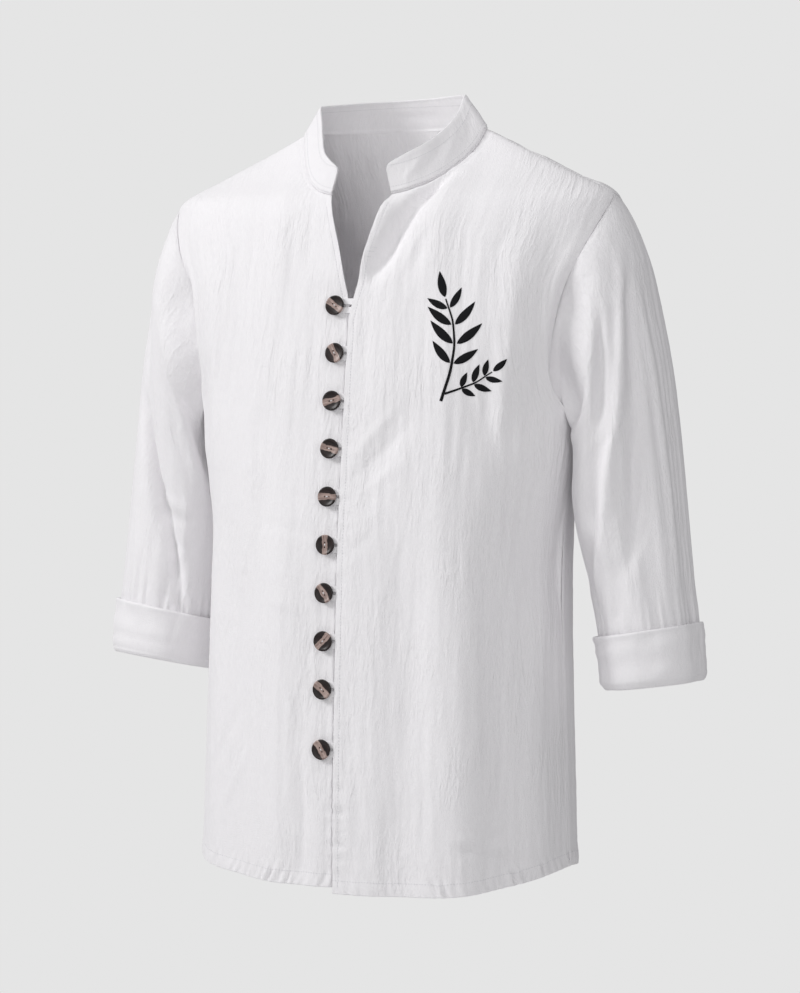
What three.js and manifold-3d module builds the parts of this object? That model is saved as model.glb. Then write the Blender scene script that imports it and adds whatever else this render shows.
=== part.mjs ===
// Mandarin collar shirt in its worn shape, hollow, with no wearer.
// Millimetres, +Z up. The front faces -Y and +X is the wearer's left.
// The origin is the middle of the neck base, level with the tops of the shoulder seams.
import * as THREE from "three";
import { mergeVertices } from "three/addons/utils/BufferGeometryUtils.js";
import Module from "manifold-3d";

// Driving sizes
const CLOTH = 1.6; // wall of the body and sleeves
const COLLAR_WALL = 2.0; // two layers of cloth
const SEAM_GAP = 0.4; // each piece is trimmed by this at a seam
const NECK_POINT_Z = 0;
const SHOULDER_TIP_Z = -66;
const ARMPIT_Z = -288;
const HEM_SIDE_Z = -721;
const HEM_MIDDLE_Z = { front_left: -741, front_right: -735.5, back: -747 };
const NOTCH_Z = -169; // foot of the open V
const BUTTON_COUNT = 10;
const BUTTON_RADIUS = 9.5;
const BUTTON_THICK = 3.2;
const BUTTON_INSET = 12.5; // button centre to the overlapping edge
const TOP_BUTTON_INSET = 15.5; // the first one stands further out, where the V opens
const FIRST_BUTTON_Z = -175.7;
const BUTTON_PITCH = 46.3;
const LAST_BUTTON_Z = -603.8;
const LOOP_WIDTH = 14.6;
const LOOP_THICK = 1.2;
const UNDERLAP = 6; // the under front runs this far past the centre
const UNDER_SINK = 2.5; // and lies this much lower there
const LOOP_LEVEL = -1.5; // underside of a loop, from the over front's outside

// Grid sizes: rows below the armpit, rows along the armhole, and columns
const LOWER_ROWS = 13;
const ARMHOLE_ROWS = 12;
const FRONT_COLUMNS = 15;
const BACK_COLUMNS = 28;
const SLEEVE_RINGS = 17;
const COLLAR_COLUMNS = 32;
const COLLAR_ROWS = 3;
const ARMPIT_SHARE = 0.52; // share of a panel's rows below the armpit

// The worn torso in level sections: half width, depth in front of and behind the side line,
// where the side line lies in y, and how square the section is.
const TORSO = [
  { z: -770, half: 194.5, front: 132, back: 110, side: 6, power: 2.3 },
  { z: -668, half: 190.5, front: 132, back: 108, side: 6, power: 2.35 },
  { z: -568, half: 187, front: 130, back: 107, side: 7, power: 2.4 },
  { z: -468, half: 184, front: 127, back: 108, side: 8, power: 2.4 },
  { z: -400, half: 184.5, front: 126, back: 113, side: 11, power: 2.4 },
  { z: -360, half: 189.5, front: 122, back: 112, side: 11, power: 2.4 },
  { z: -320, half: 197, front: 117.5, back: 111, side: 11, power: 2.4 },
  { z: -288, half: 201.5, front: 114, back: 111, side: 11, power: 2.4 },
  { z: -262, half: 207, front: 111.5, back: 112, side: 11, power: 2.35 },
  { z: -238, half: 215, front: 109, back: 113, side: 11.5, power: 2.32 },
  { z: -215, half: 226, front: 106, back: 114, side: 12, power: 2.3 },
  { z: -172, half: 240, front: 101, back: 114, side: 13.5, power: 2.25 },
  { z: -120, half: 246, front: 91, back: 111, side: 14, power: 2.15 },
  { z: -84, half: 243, front: 81, back: 105, side: 14, power: 2.1 },
  { z: -66, half: 235, front: 69, back: 100, side: 14, power: 2.1 },
  { z: -48, half: 200, front: 46, back: 92, side: 14.5, power: 2.05 },
  { z: -32, half: 167, front: 28.5, back: 84, side: 15, power: 2.0 },
  { z: -16, half: 133, front: 14, back: 77, side: 16, power: 2.0 },
  { z: 0, half: 100, front: 5, back: 70, side: 16, power: 2.0 },
  { z: 14, half: 71, front: 2, back: 66, side: 15, power: 2.0 },
];

// Front edge of a front panel above the buttons: along the V and round the neck. Row share v.
const FRONT_EDGE = [
  { v: 0.6, x: 0, z: -187 },
  { v: 0.63, x: 3.5, z: NOTCH_Z },
  { v: 0.7, x: 16.5, z: -118 },
  { v: 0.77, x: 33.4, z: -65.5 },
  { v: 0.83, x: 50, z: -61 },
  { v: 0.88, x: 69, z: -50 },
  { v: 0.93, x: 85, z: -33 },
  { v: 0.97, x: 95, z: -16 },
  { v: 1, x: 100, z: NECK_POINT_Z },
];

// How far the armhole reaches round the torso, as an angle from the side line.
const ARMHOLE_REACH = 0.58;
const ARMHOLE_POWER = 1.35;
const BACK_NECK_Z = 5;
const BACK_NECK_SHARE = 0.42; // share of half the back's top edge that is neckline

// Sleeve stations from the armhole to the end under the cuff.
const SLEEVE = [
  { outerX: 235, outerZ: -66, innerX: 201.5, innerZ: -288, midY: 18, halfY: 64 },
  { outerX: 246, outerZ: -80, innerX: 203.5, innerZ: -292, midY: 18, halfY: 64 },
  { outerX: 255.5, outerZ: -98, innerX: 205, innerZ: -297, midY: 19.5, halfY: 64 },
  { outerX: 263, outerZ: -122, innerX: 205.5, innerZ: -303, midY: 22, halfY: 63.5 },
  { outerX: 270, outerZ: -151, innerX: 205, innerZ: -312, midY: 24.5, halfY: 63 },
  { outerX: 277.5, outerZ: -187, innerX: 203.5, innerZ: -325, midY: 27, halfY: 62.5 },
  { outerX: 285.5, outerZ: -231, innerX: 201, innerZ: -344, midY: 29.5, halfY: 61 },
  { outerX: 292, outerZ: -279, innerX: 198, innerZ: -370, midY: 31, halfY: 59 },
  { outerX: 298.5, outerZ: -333, innerX: 201, innerZ: -403, midY: 32, halfY: 56.5 },
  { outerX: 304.5, outerZ: -391, innerX: 208, innerZ: -441, midY: 31.5, halfY: 53.5 },
  { outerX: 310.5, outerZ: -450, innerX: 215.5, innerZ: -477, midY: 30, halfY: 50 },
  { outerX: 315, outerZ: -492, innerX: 220, innerZ: -506, midY: 28.5, halfY: 47.5 },
  { outerX: 317, outerZ: -535, innerX: 225.5, innerZ: -547, midY: 27, halfY: 46 },
];
const UNDERARM_POWER = 0.78; // the inner half of a sleeve is a little square
const FRONT_RISE = { sleeve_left: 0.02, sleeve_right: 0.17 }; // how the lower sleeve tips up in front
const CUFF_TOP_STATION = 10.77;
const CAP_STATIONS = 4; // the armhole's own outline fades out over these

// A cuff's section: how far off the sleeve, and how far below the cuff's top as a share of its depth.
const CUFF_SECTION = [
  { off: 5.2, down: 0 },
  { off: 4.4, down: 0.5 },
  { off: 3.6, down: 0.97 },
  { off: 2.2, down: 1.04 },
  { off: -0.4, down: 1.045 },
  { off: -1.5, down: 1.012 },
  { off: 0.5, down: 1.008 },
  { off: 1.4, down: 0.5 },
  { off: 2.8, down: 0 },
];

// The collar band: how its top edge stands from its lower edge, from the front end to the centre back.
const COLLAR = [
  { t: 0, lean: -7, back: 1, rise: 30 },
  { t: 0.18, lean: -10, back: 5, rise: 33.5 },
  { t: 0.36, lean: -17, back: 3, rise: 33 },
  { t: 0.52, lean: -21, back: -7, rise: 30 },
  { t: 0.75, lean: -14, back: -15, rise: 30.5 },
  { t: 1, lean: 0, back: -17, rise: 31 },
];
const COLLAR_CORNER = 9; // radius of the rounded front corners
const COLLAR_TILT = 0.03; // its top stands a little higher on the left

// Largest folds. On the body the coordinates are x (away from the centre) and z. On a sleeve they are
// degrees round it from the outer side over the front, and the station. lift is outwards. A fold fades
// at both ends, or only at its first end when it runs out at an edge.
const FOLDS = {
  front_left: [
    { x1: 62, z1: -330, x2: 72, z2: -790, width: 18, lift: -3.6, runsOut: true },
    { x1: 104, z1: -300, x2: 112, z2: -790, width: 19, lift: 4.0, runsOut: true },
    { x1: 158, z1: -340, x2: 158, z2: -790, width: 18, lift: -4.4, runsOut: true },
    { x1: 206, z1: -90, x2: 176, z2: -330, width: 15, lift: -5.0 },
    { x1: 166, z1: -70, x2: 152, z2: -400, width: 18, lift: 3.2 },
    { x1: 92, z1: -10, x2: 70, z2: -190, width: 15, lift: 2.2 },
    { x1: 0, z1: -395, x2: 80, z2: -255, width: 14, lift: -2.6 },
  ],
  front_right: [
    { x1: 58, z1: -330, x2: 64, z2: -790, width: 19, lift: 2.8, runsOut: true },
    { x1: 104, z1: -340, x2: 114, z2: -790, width: 19, lift: -3.6, runsOut: true },
    { x1: 158, z1: -330, x2: 160, z2: -790, width: 18, lift: 3.0, runsOut: true },
    { x1: 206, z1: -90, x2: 180, z2: -330, width: 15, lift: -4.4 },
    { x1: 166, z1: -70, x2: 152, z2: -400, width: 18, lift: 3.0 },
    { x1: 92, z1: -10, x2: 74, z2: -190, width: 15, lift: 2.0 },
  ],
  back: [
    { x1: -154, z1: -300, x2: -154, z2: -790, width: 19, lift: 3.8, runsOut: true },
    { x1: -104, z1: -150, x2: -98, z2: -790, width: 20, lift: -4.4, runsOut: true },
    { x1: -48, z1: -300, x2: -46, z2: -790, width: 20, lift: 3.6, runsOut: true },
    { x1: 6, z1: -200, x2: 4, z2: -790, width: 21, lift: -4.0, runsOut: true },
    { x1: 58, z1: -280, x2: 60, z2: -790, width: 20, lift: 3.8, runsOut: true },
    { x1: 108, z1: -140, x2: 110, z2: -790, width: 19, lift: -4.2, runsOut: true },
    { x1: 160, z1: -280, x2: 160, z2: -790, width: 19, lift: 3.6, runsOut: true },
  ],
  sleeve_left: [
    { x1: 14, z1: 2, x2: 8, z2: 13.5, width: 14, lift: -2.8, runsOut: true },
    { x1: 60, z1: 1.5, x2: 66, z2: 12, width: 15, lift: -4.4 },
    { x1: 94, z1: 0.5, x2: 98, z2: 13.5, width: 15, lift: 2.8, runsOut: true },
    { x1: 138, z1: 0.6, x2: 140, z2: 9, width: 17, lift: 9.5 },
    { x1: 134, z1: 8, x2: 132, z2: 13, width: 14, lift: -4.4 },
    { x1: -54, z1: 1.5, x2: -60, z2: 12, width: 16, lift: -4.0 },
    { x1: -96, z1: 1, x2: -92, z2: 12, width: 15, lift: 3.2 },
  ],
  sleeve_right: [
    { x1: 36, z1: 3.6, x2: 80, z2: 8.4, width: 15, lift: -4.4 },
    { x1: 70, z1: 7, x2: 132, z2: 11.5, width: 15, lift: -5.0 },
    { x1: 96, z1: 0.5, x2: 104, z2: 8, width: 15, lift: 3.0 },
    { x1: 20, z1: 4, x2: 24, z2: 13.5, width: 15, lift: 2.4, runsOut: true },
    { x1: -40, z1: 1.5, x2: -36, z2: 12, width: 16, lift: -3.6 },
    { x1: -92, z1: 1, x2: -94, z2: 12, width: 15, lift: 3.2 },
  ],
};
const MM_PER_DEGREE = 0.95;
const MM_PER_STATION = 42;

const white = { color: 0xf1f1f4, roughness: 0.9, metalness: 0 };
const CLOTH_LOOK = () => new THREE.MeshStandardMaterial(white);
const BUTTON_LOOK = () => new THREE.MeshStandardMaterial({ color: 0x3b2f2d, roughness: 0.35, metalness: 0 });

const clamp = (value, low, high) => Math.min(high, Math.max(low, value));
const mix = (a, b, t) => a + (b - a) * t;
const smooth = (t) => {
  const c = clamp(t, 0, 1);
  return c * c * (3 - 2 * c);
};

// A smooth curve through one column of a table, read against another column.
function readColumn(rows, along, column, at) {
  const last = rows.length - 1;
  const slope = (i) => {
    const a = rows[Math.max(0, i - 1)];
    const b = rows[Math.min(last, i + 1)];
    return (b[column] - a[column]) / (b[along] - a[along]);
  };
  const x = clamp(at, rows[0][along], rows[last][along]);
  let i = 0;
  while (i < last - 1 && x > rows[i + 1][along]) i++;
  const [p, q] = [rows[i], rows[i + 1]];
  const span = q[along] - p[along];
  const t = (x - p[along]) / span;
  const rise = (1 - t) ** 2 * t * span * slope(i) - (1 - t) * t * t * span * slope(i + 1);
  return p[column] + (q[column] - p[column]) * smooth(t) + rise;
}

const torsoAt = (z, column) => readColumn(TORSO, "z", column, z);
const power = (value, exponent) => Math.sign(value) * Math.abs(value) ** exponent;

// A point on the torso. The angle runs from the side line, positive over the front.
function torsoPoint(angle, z) {
  const exponent = 2 / torsoAt(z, "power");
  const depth = angle > 0 ? -torsoAt(z, "front") : torsoAt(z, "back");
  const across = torsoAt(z, "half") * power(Math.cos(angle), exponent);
  const along = depth * Math.abs(Math.sin(angle)) ** exponent;
  return new THREE.Vector3(across, torsoAt(z, "side") + along, z);
}

function torsoAngle(x, z) {
  const share = clamp(x / torsoAt(z, "half"), -1, 1);
  return Math.acos(power(share, torsoAt(z, "power") / 2));
}

function torsoNormal(angle, z) {
  const [turn, climb] = [0.012, 1];
  const around = torsoPoint(angle + turn, z).sub(torsoPoint(angle - turn, z));
  const up = torsoPoint(angle, z + climb).sub(torsoPoint(angle, z - climb));
  return up.cross(around).normalize();
}

// Sum of the folds at a place, each a soft ridge or trough round a straight line.
function foldLift(folds, x, z, perX = 1, perZ = 1) {
  let lift = 0;
  for (const fold of folds) {
    const [dx, dz] = [(fold.x2 - fold.x1) * perX, (fold.z2 - fold.z1) * perZ];
    const [px, pz] = [(x - fold.x1) * perX, (z - fold.z1) * perZ];
    const t = clamp((px * dx + pz * dz) / (dx * dx + dz * dz), 0, 1);
    const away = Math.hypot(px - t * dx, pz - t * dz) / fold.width;
    const ends = smooth(t / 0.3) * (fold.runsOut ? 1 : smooth((1 - t) / 0.3));
    lift += fold.lift * ends * Math.exp(-away * away);
  }
  return lift;
}

// The armhole, from the armpit (turn 0) to the shoulder tip (turn pi).
function armhole(turn) {
  const middle = (SHOULDER_TIP_Z + ARMPIT_Z) / 2;
  const half = (SHOULDER_TIP_Z - ARMPIT_Z) / 2;
  const reach = ARMHOLE_REACH * Math.max(0, Math.sin(turn)) ** ARMHOLE_POWER;
  return { angle: reach, z: middle - half * Math.cos(turn) };
}

// The side of a panel: up the side seam to the armpit, then round the armhole to the shoulder.
function outerEdge(v) {
  if (v <= ARMPIT_SHARE) return { angle: 0, z: mix(HEM_SIDE_Z, ARMPIT_Z, v / ARMPIT_SHARE) };
  return armhole((Math.PI * (v - ARMPIT_SHARE)) / (1 - ARMPIT_SHARE));
}

// The hem curves up to the side; higher rows straighten out. Share s runs to the side.
function hemLift(s, v, rise) {
  return rise * (smooth(s ** 1.4) - s) * Math.max(0, 1 - v / 0.35) ** 2;
}

// Front edge of a front panel, from the hem (v 0) up to the shoulder (v 1).
function frontEdge(v, name, underlap) {
  const first = FRONT_EDGE[0];
  const past = underlap * (1 - smooth((v - 0.58) / 0.04));
  if (v <= first.v) return { x: -past, z: mix(HEM_MIDDLE_Z[name], first.z, v / first.v) };
  return { x: readColumn(FRONT_EDGE, "v", "x", v) - past, z: readColumn(FRONT_EDGE, "v", "z", v) };
}

function frontPlace(s, v, name, underlap) {
  const edge = frontEdge(v, name, underlap);
  const outer = outerEdge(v);
  const lift = hemLift(s, v, HEM_SIDE_Z - HEM_MIDDLE_Z[name]);
  return { angle: mix(torsoAngle(edge.x, edge.z), outer.angle, s), z: mix(edge.z, outer.z, s) + lift };
}

// Half of the back, from the centre (s 0) to the side (s 1).
function backPlace(s, v) {
  const centre = { angle: Math.PI / 2, z: mix(HEM_MIDDLE_Z.back, BACK_NECK_Z, v) };
  const outer = outerEdge(v);
  const weight = smooth((v - 0.55) / 0.45);
  const drop = mix(s, 1 - (1 - s) ** 2, weight); // the upper rows reach the armhole level
  const straight = { angle: mix(centre.angle, outer.angle, s), z: mix(centre.z, outer.z, drop) };
  const t = s / BACK_NECK_SHARE;
  const neck = { angle: (1 - t) * centre.angle, z: mix(BACK_NECK_Z, NECK_POINT_Z, t ** 3) };
  const alongSeam = (s - BACK_NECK_SHARE) / (1 - BACK_NECK_SHARE);
  const seam = { angle: 0, z: mix(NECK_POINT_Z, SHOULDER_TIP_Z, alongSeam) };
  const top = t < 1 ? neck : seam;
  const fromTop = { angle: mix(centre.angle, 0, s), z: mix(BACK_NECK_Z, SHOULDER_TIP_Z, drop) };
  return {
    angle: -(straight.angle + (top.angle - fromTop.angle) * weight),
    z: straight.z + (top.z - fromTop.z) * weight + hemLift(s, v, HEM_SIDE_Z - HEM_MIDDLE_Z.back),
  };
}

// Evenly spaced places along one row of a panel.
function evenRow(place, columns) {
  const fine = 160;
  const places = Array.from({ length: fine + 1 }, (_, i) => place(i / fine));
  const points = places.map((p) => torsoPoint(p.angle, p.z));
  const run = [0];
  for (let i = 1; i <= fine; i++) run.push(run[i - 1] + points[i].distanceTo(points[i - 1]));
  return Array.from({ length: columns + 1 }, (_, c) => {
    const want = (run[fine] * c) / columns;
    let i = 0;
    while (i < fine - 1 && run[i + 1] < want) i++;
    const t = (want - run[i]) / (run[i + 1] - run[i]);
    return { angle: mix(places[i].angle, places[i + 1].angle, t), z: mix(places[i].z, places[i + 1].z, t) };
  });
}

// Row positions: even below the armpit, and even along the armhole above it.
function rowShares() {
  const lower = Array.from({ length: LOWER_ROWS }, (_, i) => (ARMPIT_SHARE * i) / LOWER_ROWS);
  const upper = Array.from({ length: ARMHOLE_ROWS + 1 }, (_, i) => mix(ARMPIT_SHARE, 1, i / ARMHOLE_ROWS));
  return [...lower, ...upper];
}

// How far the under front is let down near the centre, so that the loops lie between the fronts.
const underSink = (x) => -UNDER_SINK * smooth((60 - x) / 36);

function frontSurface(place, name) {
  const base = torsoPoint(place.angle, place.z);
  const normal = torsoNormal(place.angle, place.z);
  const sink = name === "front_right" ? underSink(base.x) * smooth((-145 - place.z) / 20) : 0;
  const calm = smooth((Math.abs(base.x) - 4) / 26); // the button line stays straight
  const lift = foldLift(FOLDS[name], base.x, place.z) * calm + sink;
  return { point: base.addScaledVector(normal, lift), normal };
}

// Pulls the border points of a grid in along its lines, which leaves the seam gaps.
function trim(grid, gap) {
  const pull = (edge, next) => edge.point.lerp(next.point, gap / edge.point.distanceTo(next.point));
  const last = grid.length - 1;
  const end = grid[0].length - 1;
  for (const row of grid) {
    pull(row[0], row[1]);
    pull(row[end], row[end - 1]);
  }
  for (let c = 0; c <= end; c++) {
    pull(grid[0][c], grid[1][c]);
    pull(grid[last][c], grid[last - 1][c]);
  }
}

// A closed body from quads of points, turned to face outwards.
function solid(points, quads) {
  const position = new Float32Array(points.flatMap((p) => [p.x, p.y, p.z]));
  const faces = quads.flatMap(([a, b, c, d]) => [a, b, c, a, c, d]);
  let volume = 0;
  for (let i = 0; i < faces.length; i += 3) {
    const [a, b, c] = [points[faces[i]], points[faces[i + 1]], points[faces[i + 2]]];
    volume += a.dot(new THREE.Vector3().crossVectors(b, c));
  }
  if (volume < 0) faces.reverse();
  const geometry = new THREE.BufferGeometry();
  geometry.setAttribute("position", new THREE.BufferAttribute(position, 3));
  geometry.setIndex(faces);
  return geometry;
}

// A wall of cloth: a grid of outer points, the same points moved in, and the rim between them.
function wall(grid, thickness, closedRound = false) {
  const rows = grid.length;
  const columns = grid[0].length;
  const outside = grid.flat().map((g) => g.point);
  const inside = grid.flat().map((g) => g.point.clone().addScaledVector(g.normal, -thickness));
  const inner = rows * columns;
  const at = (r, c) => r * columns + (c % columns);
  const quads = [];
  const steps = closedRound ? columns : columns - 1;
  for (let r = 0; r < rows - 1; r++)
    for (let c = 0; c < steps; c++) {
      const [a, b, d, e] = [at(r, c), at(r, c + 1), at(r + 1, c + 1), at(r + 1, c)];
      quads.push([a, b, d, e], [inner + e, inner + d, inner + b, inner + a]);
    }
  for (let c = 0; c < steps; c++) {
    const [a, b, d, e] = [at(0, c), at(0, c + 1), at(rows - 1, c), at(rows - 1, c + 1)];
    quads.push([b, a, inner + a, inner + b], [d, e, inner + e, inner + d]);
  }
  if (!closedRound)
    for (let r = 0; r < rows - 1; r++) {
      const [a, b, d, e] = [at(r, 0), at(r + 1, 0), at(r, columns - 1), at(r + 1, columns - 1)];
      quads.push([a, b, inner + b, inner + a], [e, d, inner + d, inner + e]);
    }
  return solid([...outside, ...inside], quads);
}

const mirrored = (side) => (g) => {
  g.point.x *= side;
  g.normal.x *= side;
  return g;
};

// The sleeve's turn where a row of a panel ends on the armhole, or null below the armpit.
const rowTurn = (v) => (v < ARMPIT_SHARE ? null : Math.PI * (1 - (v - ARMPIT_SHARE) / (1 - ARMPIT_SHARE)));

function frontPanel(name, side, underlap) {
  const grid = rowShares().map((v) => {
    const places = evenRow((s) => frontPlace(s, v, name, underlap), FRONT_COLUMNS);
    const row = places.map((place) => frontSurface(place, name));
    if (rowTurn(v) !== null) row[FRONT_COLUMNS].normal = seamNormal(rowTurn(v));
    return row;
  });
  trim(grid, SEAM_GAP);
  grid.flat().forEach(mirrored(side));
  return wall(grid, CLOTH);
}

function backPanel() {
  const half = BACK_COLUMNS / 2;
  const grid = rowShares().map((v) => {
    const places = evenRow((s) => backPlace(s, v), half);
    const surface = (place, side) => {
      const base = torsoPoint(place.angle, place.z);
      const normal = torsoNormal(place.angle, place.z);
      base.addScaledVector(normal, foldLift(FOLDS.back, side * base.x, place.z));
      return mirrored(side)({ point: base, normal });
    };
    const left = places.map((place) => surface(place, 1));
    const right = places.slice(1).map((place) => surface(place, -1));
    if (rowTurn(v) !== null) {
      left[half].normal = seamNormal(-rowTurn(v));
      right[half - 1].normal = seamNormal(-rowTurn(v));
      right[half - 1].normal.x *= -1;
    }
    return [...right.reverse(), ...left];
  });
  trim(grid, SEAM_GAP);
  return wall(grid, CLOTH);
}

const STATIONS = SLEEVE.map((row, k) => ({ k, ...row }));

// A point on the left sleeve. turn is 0 on the outer side, pi/2 in front and pi at the underarm.
function sleeveBase(turn, k, name) {
  const at = (column) => readColumn(STATIONS, "k", column, k);
  const square = Math.cos(turn) < 0 ? UNDERARM_POWER : 1;
  const c = (1 + power(Math.cos(turn), square)) / 2;
  const s = power(Math.sin(turn), square);
  const rise = FRONT_RISE[name] * at("halfY") * s * smooth((k - 7) / 4);
  const ring = new THREE.Vector3(
    mix(at("innerX"), at("outerX"), c),
    at("midY") - at("halfY") * s,
    mix(at("innerZ"), at("outerZ"), c) + rise,
  );
  const hole = armhole(Math.PI - Math.abs(turn));
  const start = torsoPoint(Math.sign(turn || 1) * hole.angle, hole.z);
  return start.lerp(ring, smooth(k / CAP_STATIONS + 0.04 * k));
}

function bareSleeveNormal(turn, k, name) {
  const [step, slide] = [0.02, 0.05];
  const k1 = Math.max(0, k - slide);
  const around = sleeveBase(turn + step, k, name).sub(sleeveBase(turn - step, k, name));
  const down = sleeveBase(turn, k1 + 2 * slide, name).sub(sleeveBase(turn, k1, name));
  return around.cross(down).normalize();
}

// Both walls at the armhole seam are laid along this direction, midway between their own.
function seamNormal(turn) {
  const hole = armhole(Math.PI - Math.abs(turn));
  const torso = torsoNormal(Math.sign(turn || 1) * hole.angle, hole.z);
  return torso.add(bareSleeveNormal(turn, 0.5, "sleeve_left")).normalize();
}

function sleeveNormal(turn, k, name) {
  return seamNormal(turn).lerp(bareSleeveNormal(turn, Math.max(k, 0.3), name), smooth(k / 0.7)).normalize();
}

function sleeveSurface(turn, k, name) {
  const degrees = (turn * 180) / Math.PI;
  const normal = sleeveNormal(turn, k, name);
  const calm = smooth(k / 1.5);
  const around = [0, 360, -360].map((shift) =>
    foldLift(FOLDS[name], degrees + shift, k, MM_PER_DEGREE, MM_PER_STATION),
  );
  const lift = around.reduce((sum, value) => sum + value, 0) * calm;
  return { point: sleeveBase(turn, k, name).addScaledVector(normal, lift), normal };
}

function turnsAround() {
  const count = 2 * ARMHOLE_ROWS;
  return Array.from({ length: count }, (_, i) => (2 * Math.PI * i) / count - Math.PI + Math.PI / ARMHOLE_ROWS);
}

function sleeve(name, side) {
  const lastStation = STATIONS.length - 1;
  const grid = Array.from({ length: SLEEVE_RINGS + 1 }, (_, r) => {
    const k = lastStation * (r / SLEEVE_RINGS) ** 1.15;
    return turnsAround().map((turn) => sleeveSurface(turn, k, name));
  });
  const columns = grid[0].length;
  for (let c = 0; c < columns; c++) {
    const [first, next] = [grid[0][c].point, grid[1][c].point];
    first.lerp(next, SEAM_GAP / first.distanceTo(next));
  }
  grid.flat().forEach(mirrored(side));
  return wall(grid, CLOTH, true);
}

// The turned-up cuff: one closed ring whose section wraps under the sleeve's end.
function cuff(name, side) {
  const endStation = STATIONS.length - 1;
  const turns = turnsAround();
  const rings = CUFF_SECTION.map(({ off, down }) =>
    turns.map((turn) => {
      const k = mix(CUFF_TOP_STATION, endStation, Math.min(down, 1));
      const { point, normal } = sleeveSurface(turn, k, name);
      const depth = sleeveBase(turn, endStation, name).sub(sleeveBase(turn, CUFF_TOP_STATION, name));
      point.addScaledVector(depth, Math.max(0, down - 1));
      return mirrored(side)({ point: point.addScaledVector(normal, off), normal }).point;
    }),
  );
  const columns = turns.length;
  const quads = rings.flatMap((ring, r) =>
    ring.map((_, c) => {
      const [a, b] = [r * columns, ((r + 1) % rings.length) * columns];
      const next = (c + 1) % columns;
      return [a + c, a + next, b + next, b + c];
    }),
  );
  return solid(rings.flat(), quads);
}

// The neck seam from the front end (t 0) by the shoulder to the centre back (t 1), on the left.
const SHOULDER_SHARE = 0.5;
function neckSeam(t) {
  if (t < SHOULDER_SHARE) {
    const v = mix(0.77, 1, t / SHOULDER_SHARE);
    const z = readColumn(FRONT_EDGE, "v", "z", v);
    return torsoPoint(torsoAngle(readColumn(FRONT_EDGE, "v", "x", v), z), z);
  }
  const s = (1 - t) / (1 - SHOULDER_SHARE);
  return torsoPoint((s - 1) * (Math.PI / 2), mix(BACK_NECK_Z, NECK_POINT_Z, s ** 3));
}

function collarPoint(t, share, front, side) {
  const foot = neckSeam(t);
  const at = (column) => readColumn(COLLAR, "t", column, t);
  const lean = new THREE.Vector3(at("lean"), at("back"), at("rise"));
  lean.z += COLLAR_TILT * foot.x * side;
  const clear = 0.8 / lean.length();
  return foot.addScaledVector(lean, mix(clear, 1, share) * (1 - front * share));
}

function collar() {
  // The two front corners are rounded by shortening the band's end columns.
  const shares = Array.from({ length: COLLAR_COLUMNS + 1 }, (_, c) => (2 * c) / COLLAR_COLUMNS);
  const band = 30;
  const frontLength = 230;
  const point = (u, share) => {
    const t = u <= 1 ? u : 2 - u;
    const near = Math.max(0, COLLAR_CORNER - t * frontLength);
    const short = (COLLAR_CORNER - Math.sqrt(COLLAR_CORNER ** 2 - near ** 2)) / band;
    const side = u > 1 ? -1 : 1;
    const place = collarPoint(t, share, short, side);
    place.x *= side;
    return place;
  };
  const rows = Array.from({ length: COLLAR_ROWS + 1 }, (_, r) => r / COLLAR_ROWS);
  const grid = rows.map((share) =>
    shares.map((raw) => {
      const u = clamp(raw + 0.02 * Math.sin(2 * Math.PI * Math.min(raw, 2 - raw)) * (raw < 1 ? -1 : 1), 0, 2);
      const step = 0.01;
      const along = point(Math.min(2, u + step), share).sub(point(Math.max(0, u - step), share));
      const up = point(u, Math.min(1, share + 0.1)).sub(point(u, Math.max(0, share - 0.1)));
      return { point: point(u, share), normal: along.cross(up).normalize().negate() };
    }),
  );
  return wall(grid, COLLAR_WALL);
}

const buttonHeights = Array.from({ length: BUTTON_COUNT }, (_, i) =>
  i < BUTTON_COUNT - 1 ? FIRST_BUTTON_Z - i * BUTTON_PITCH : LAST_BUTTON_Z,
);

const insetOf = (z) => (z === FIRST_BUTTON_Z ? TOP_BUTTON_INSET : BUTTON_INSET);

// The frame that a button and its loop lie in: x towards the over front, y up, z outwards.
function buttonFrame(z) {
  const angle = torsoAngle(-insetOf(z), z);
  const base = torsoPoint(angle, z);
  const normal = torsoNormal(angle, z);
  normal.x = 0;
  normal.normalize();
  const across = new THREE.Vector3(1, 0, 0);
  const up = new THREE.Vector3().crossVectors(normal, across);
  const origin = new THREE.Vector3(-insetOf(z), base.y, z);
  return new THREE.Matrix4().makeBasis(across, up, normal).setPosition(origin);
}

function loopShape(inset) {
  const half = LOOP_WIDTH / 2;
  const root = inset - 0.4;
  const outline = new THREE.Shape();
  outline.moveTo(root, -half);
  outline.lineTo(root, half);
  outline.lineTo(0, half);
  outline.absarc(0, 0, half, Math.PI / 2, (3 * Math.PI) / 2, false);
  outline.closePath();
  const slot = new THREE.Path();
  slot.moveTo(root - 2, 0.5);
  slot.lineTo(root - 2, -0.5);
  slot.absarc(0, 0, 2.6, -Math.PI / 3, Math.PI / 3, true);
  slot.closePath();
  outline.holes.push(slot);
  return outline;
}

function loop(z) {
  const options = { depth: LOOP_THICK, bevelEnabled: false, curveSegments: 6 };
  const geometry = new THREE.ExtrudeGeometry(loopShape(insetOf(z)), options);
  return geometry.translate(0, 0, LOOP_LEVEL).applyMatrix4(buttonFrame(z));
}

const wasm = await Module();
wasm.setup();

function toManifold(geometry) {
  const bare = new THREE.BufferGeometry();
  bare.setAttribute("position", geometry.getAttribute("position"));
  if (geometry.index) bare.setIndex(geometry.index);
  const merged = mergeVertices(bare, 1e-4);
  return new wasm.Manifold(
    new wasm.Mesh({
      numProp: 3,
      vertProperties: merged.attributes.position.array,
      triVerts: new Uint32Array(merged.index.array),
    }),
  );
}

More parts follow.
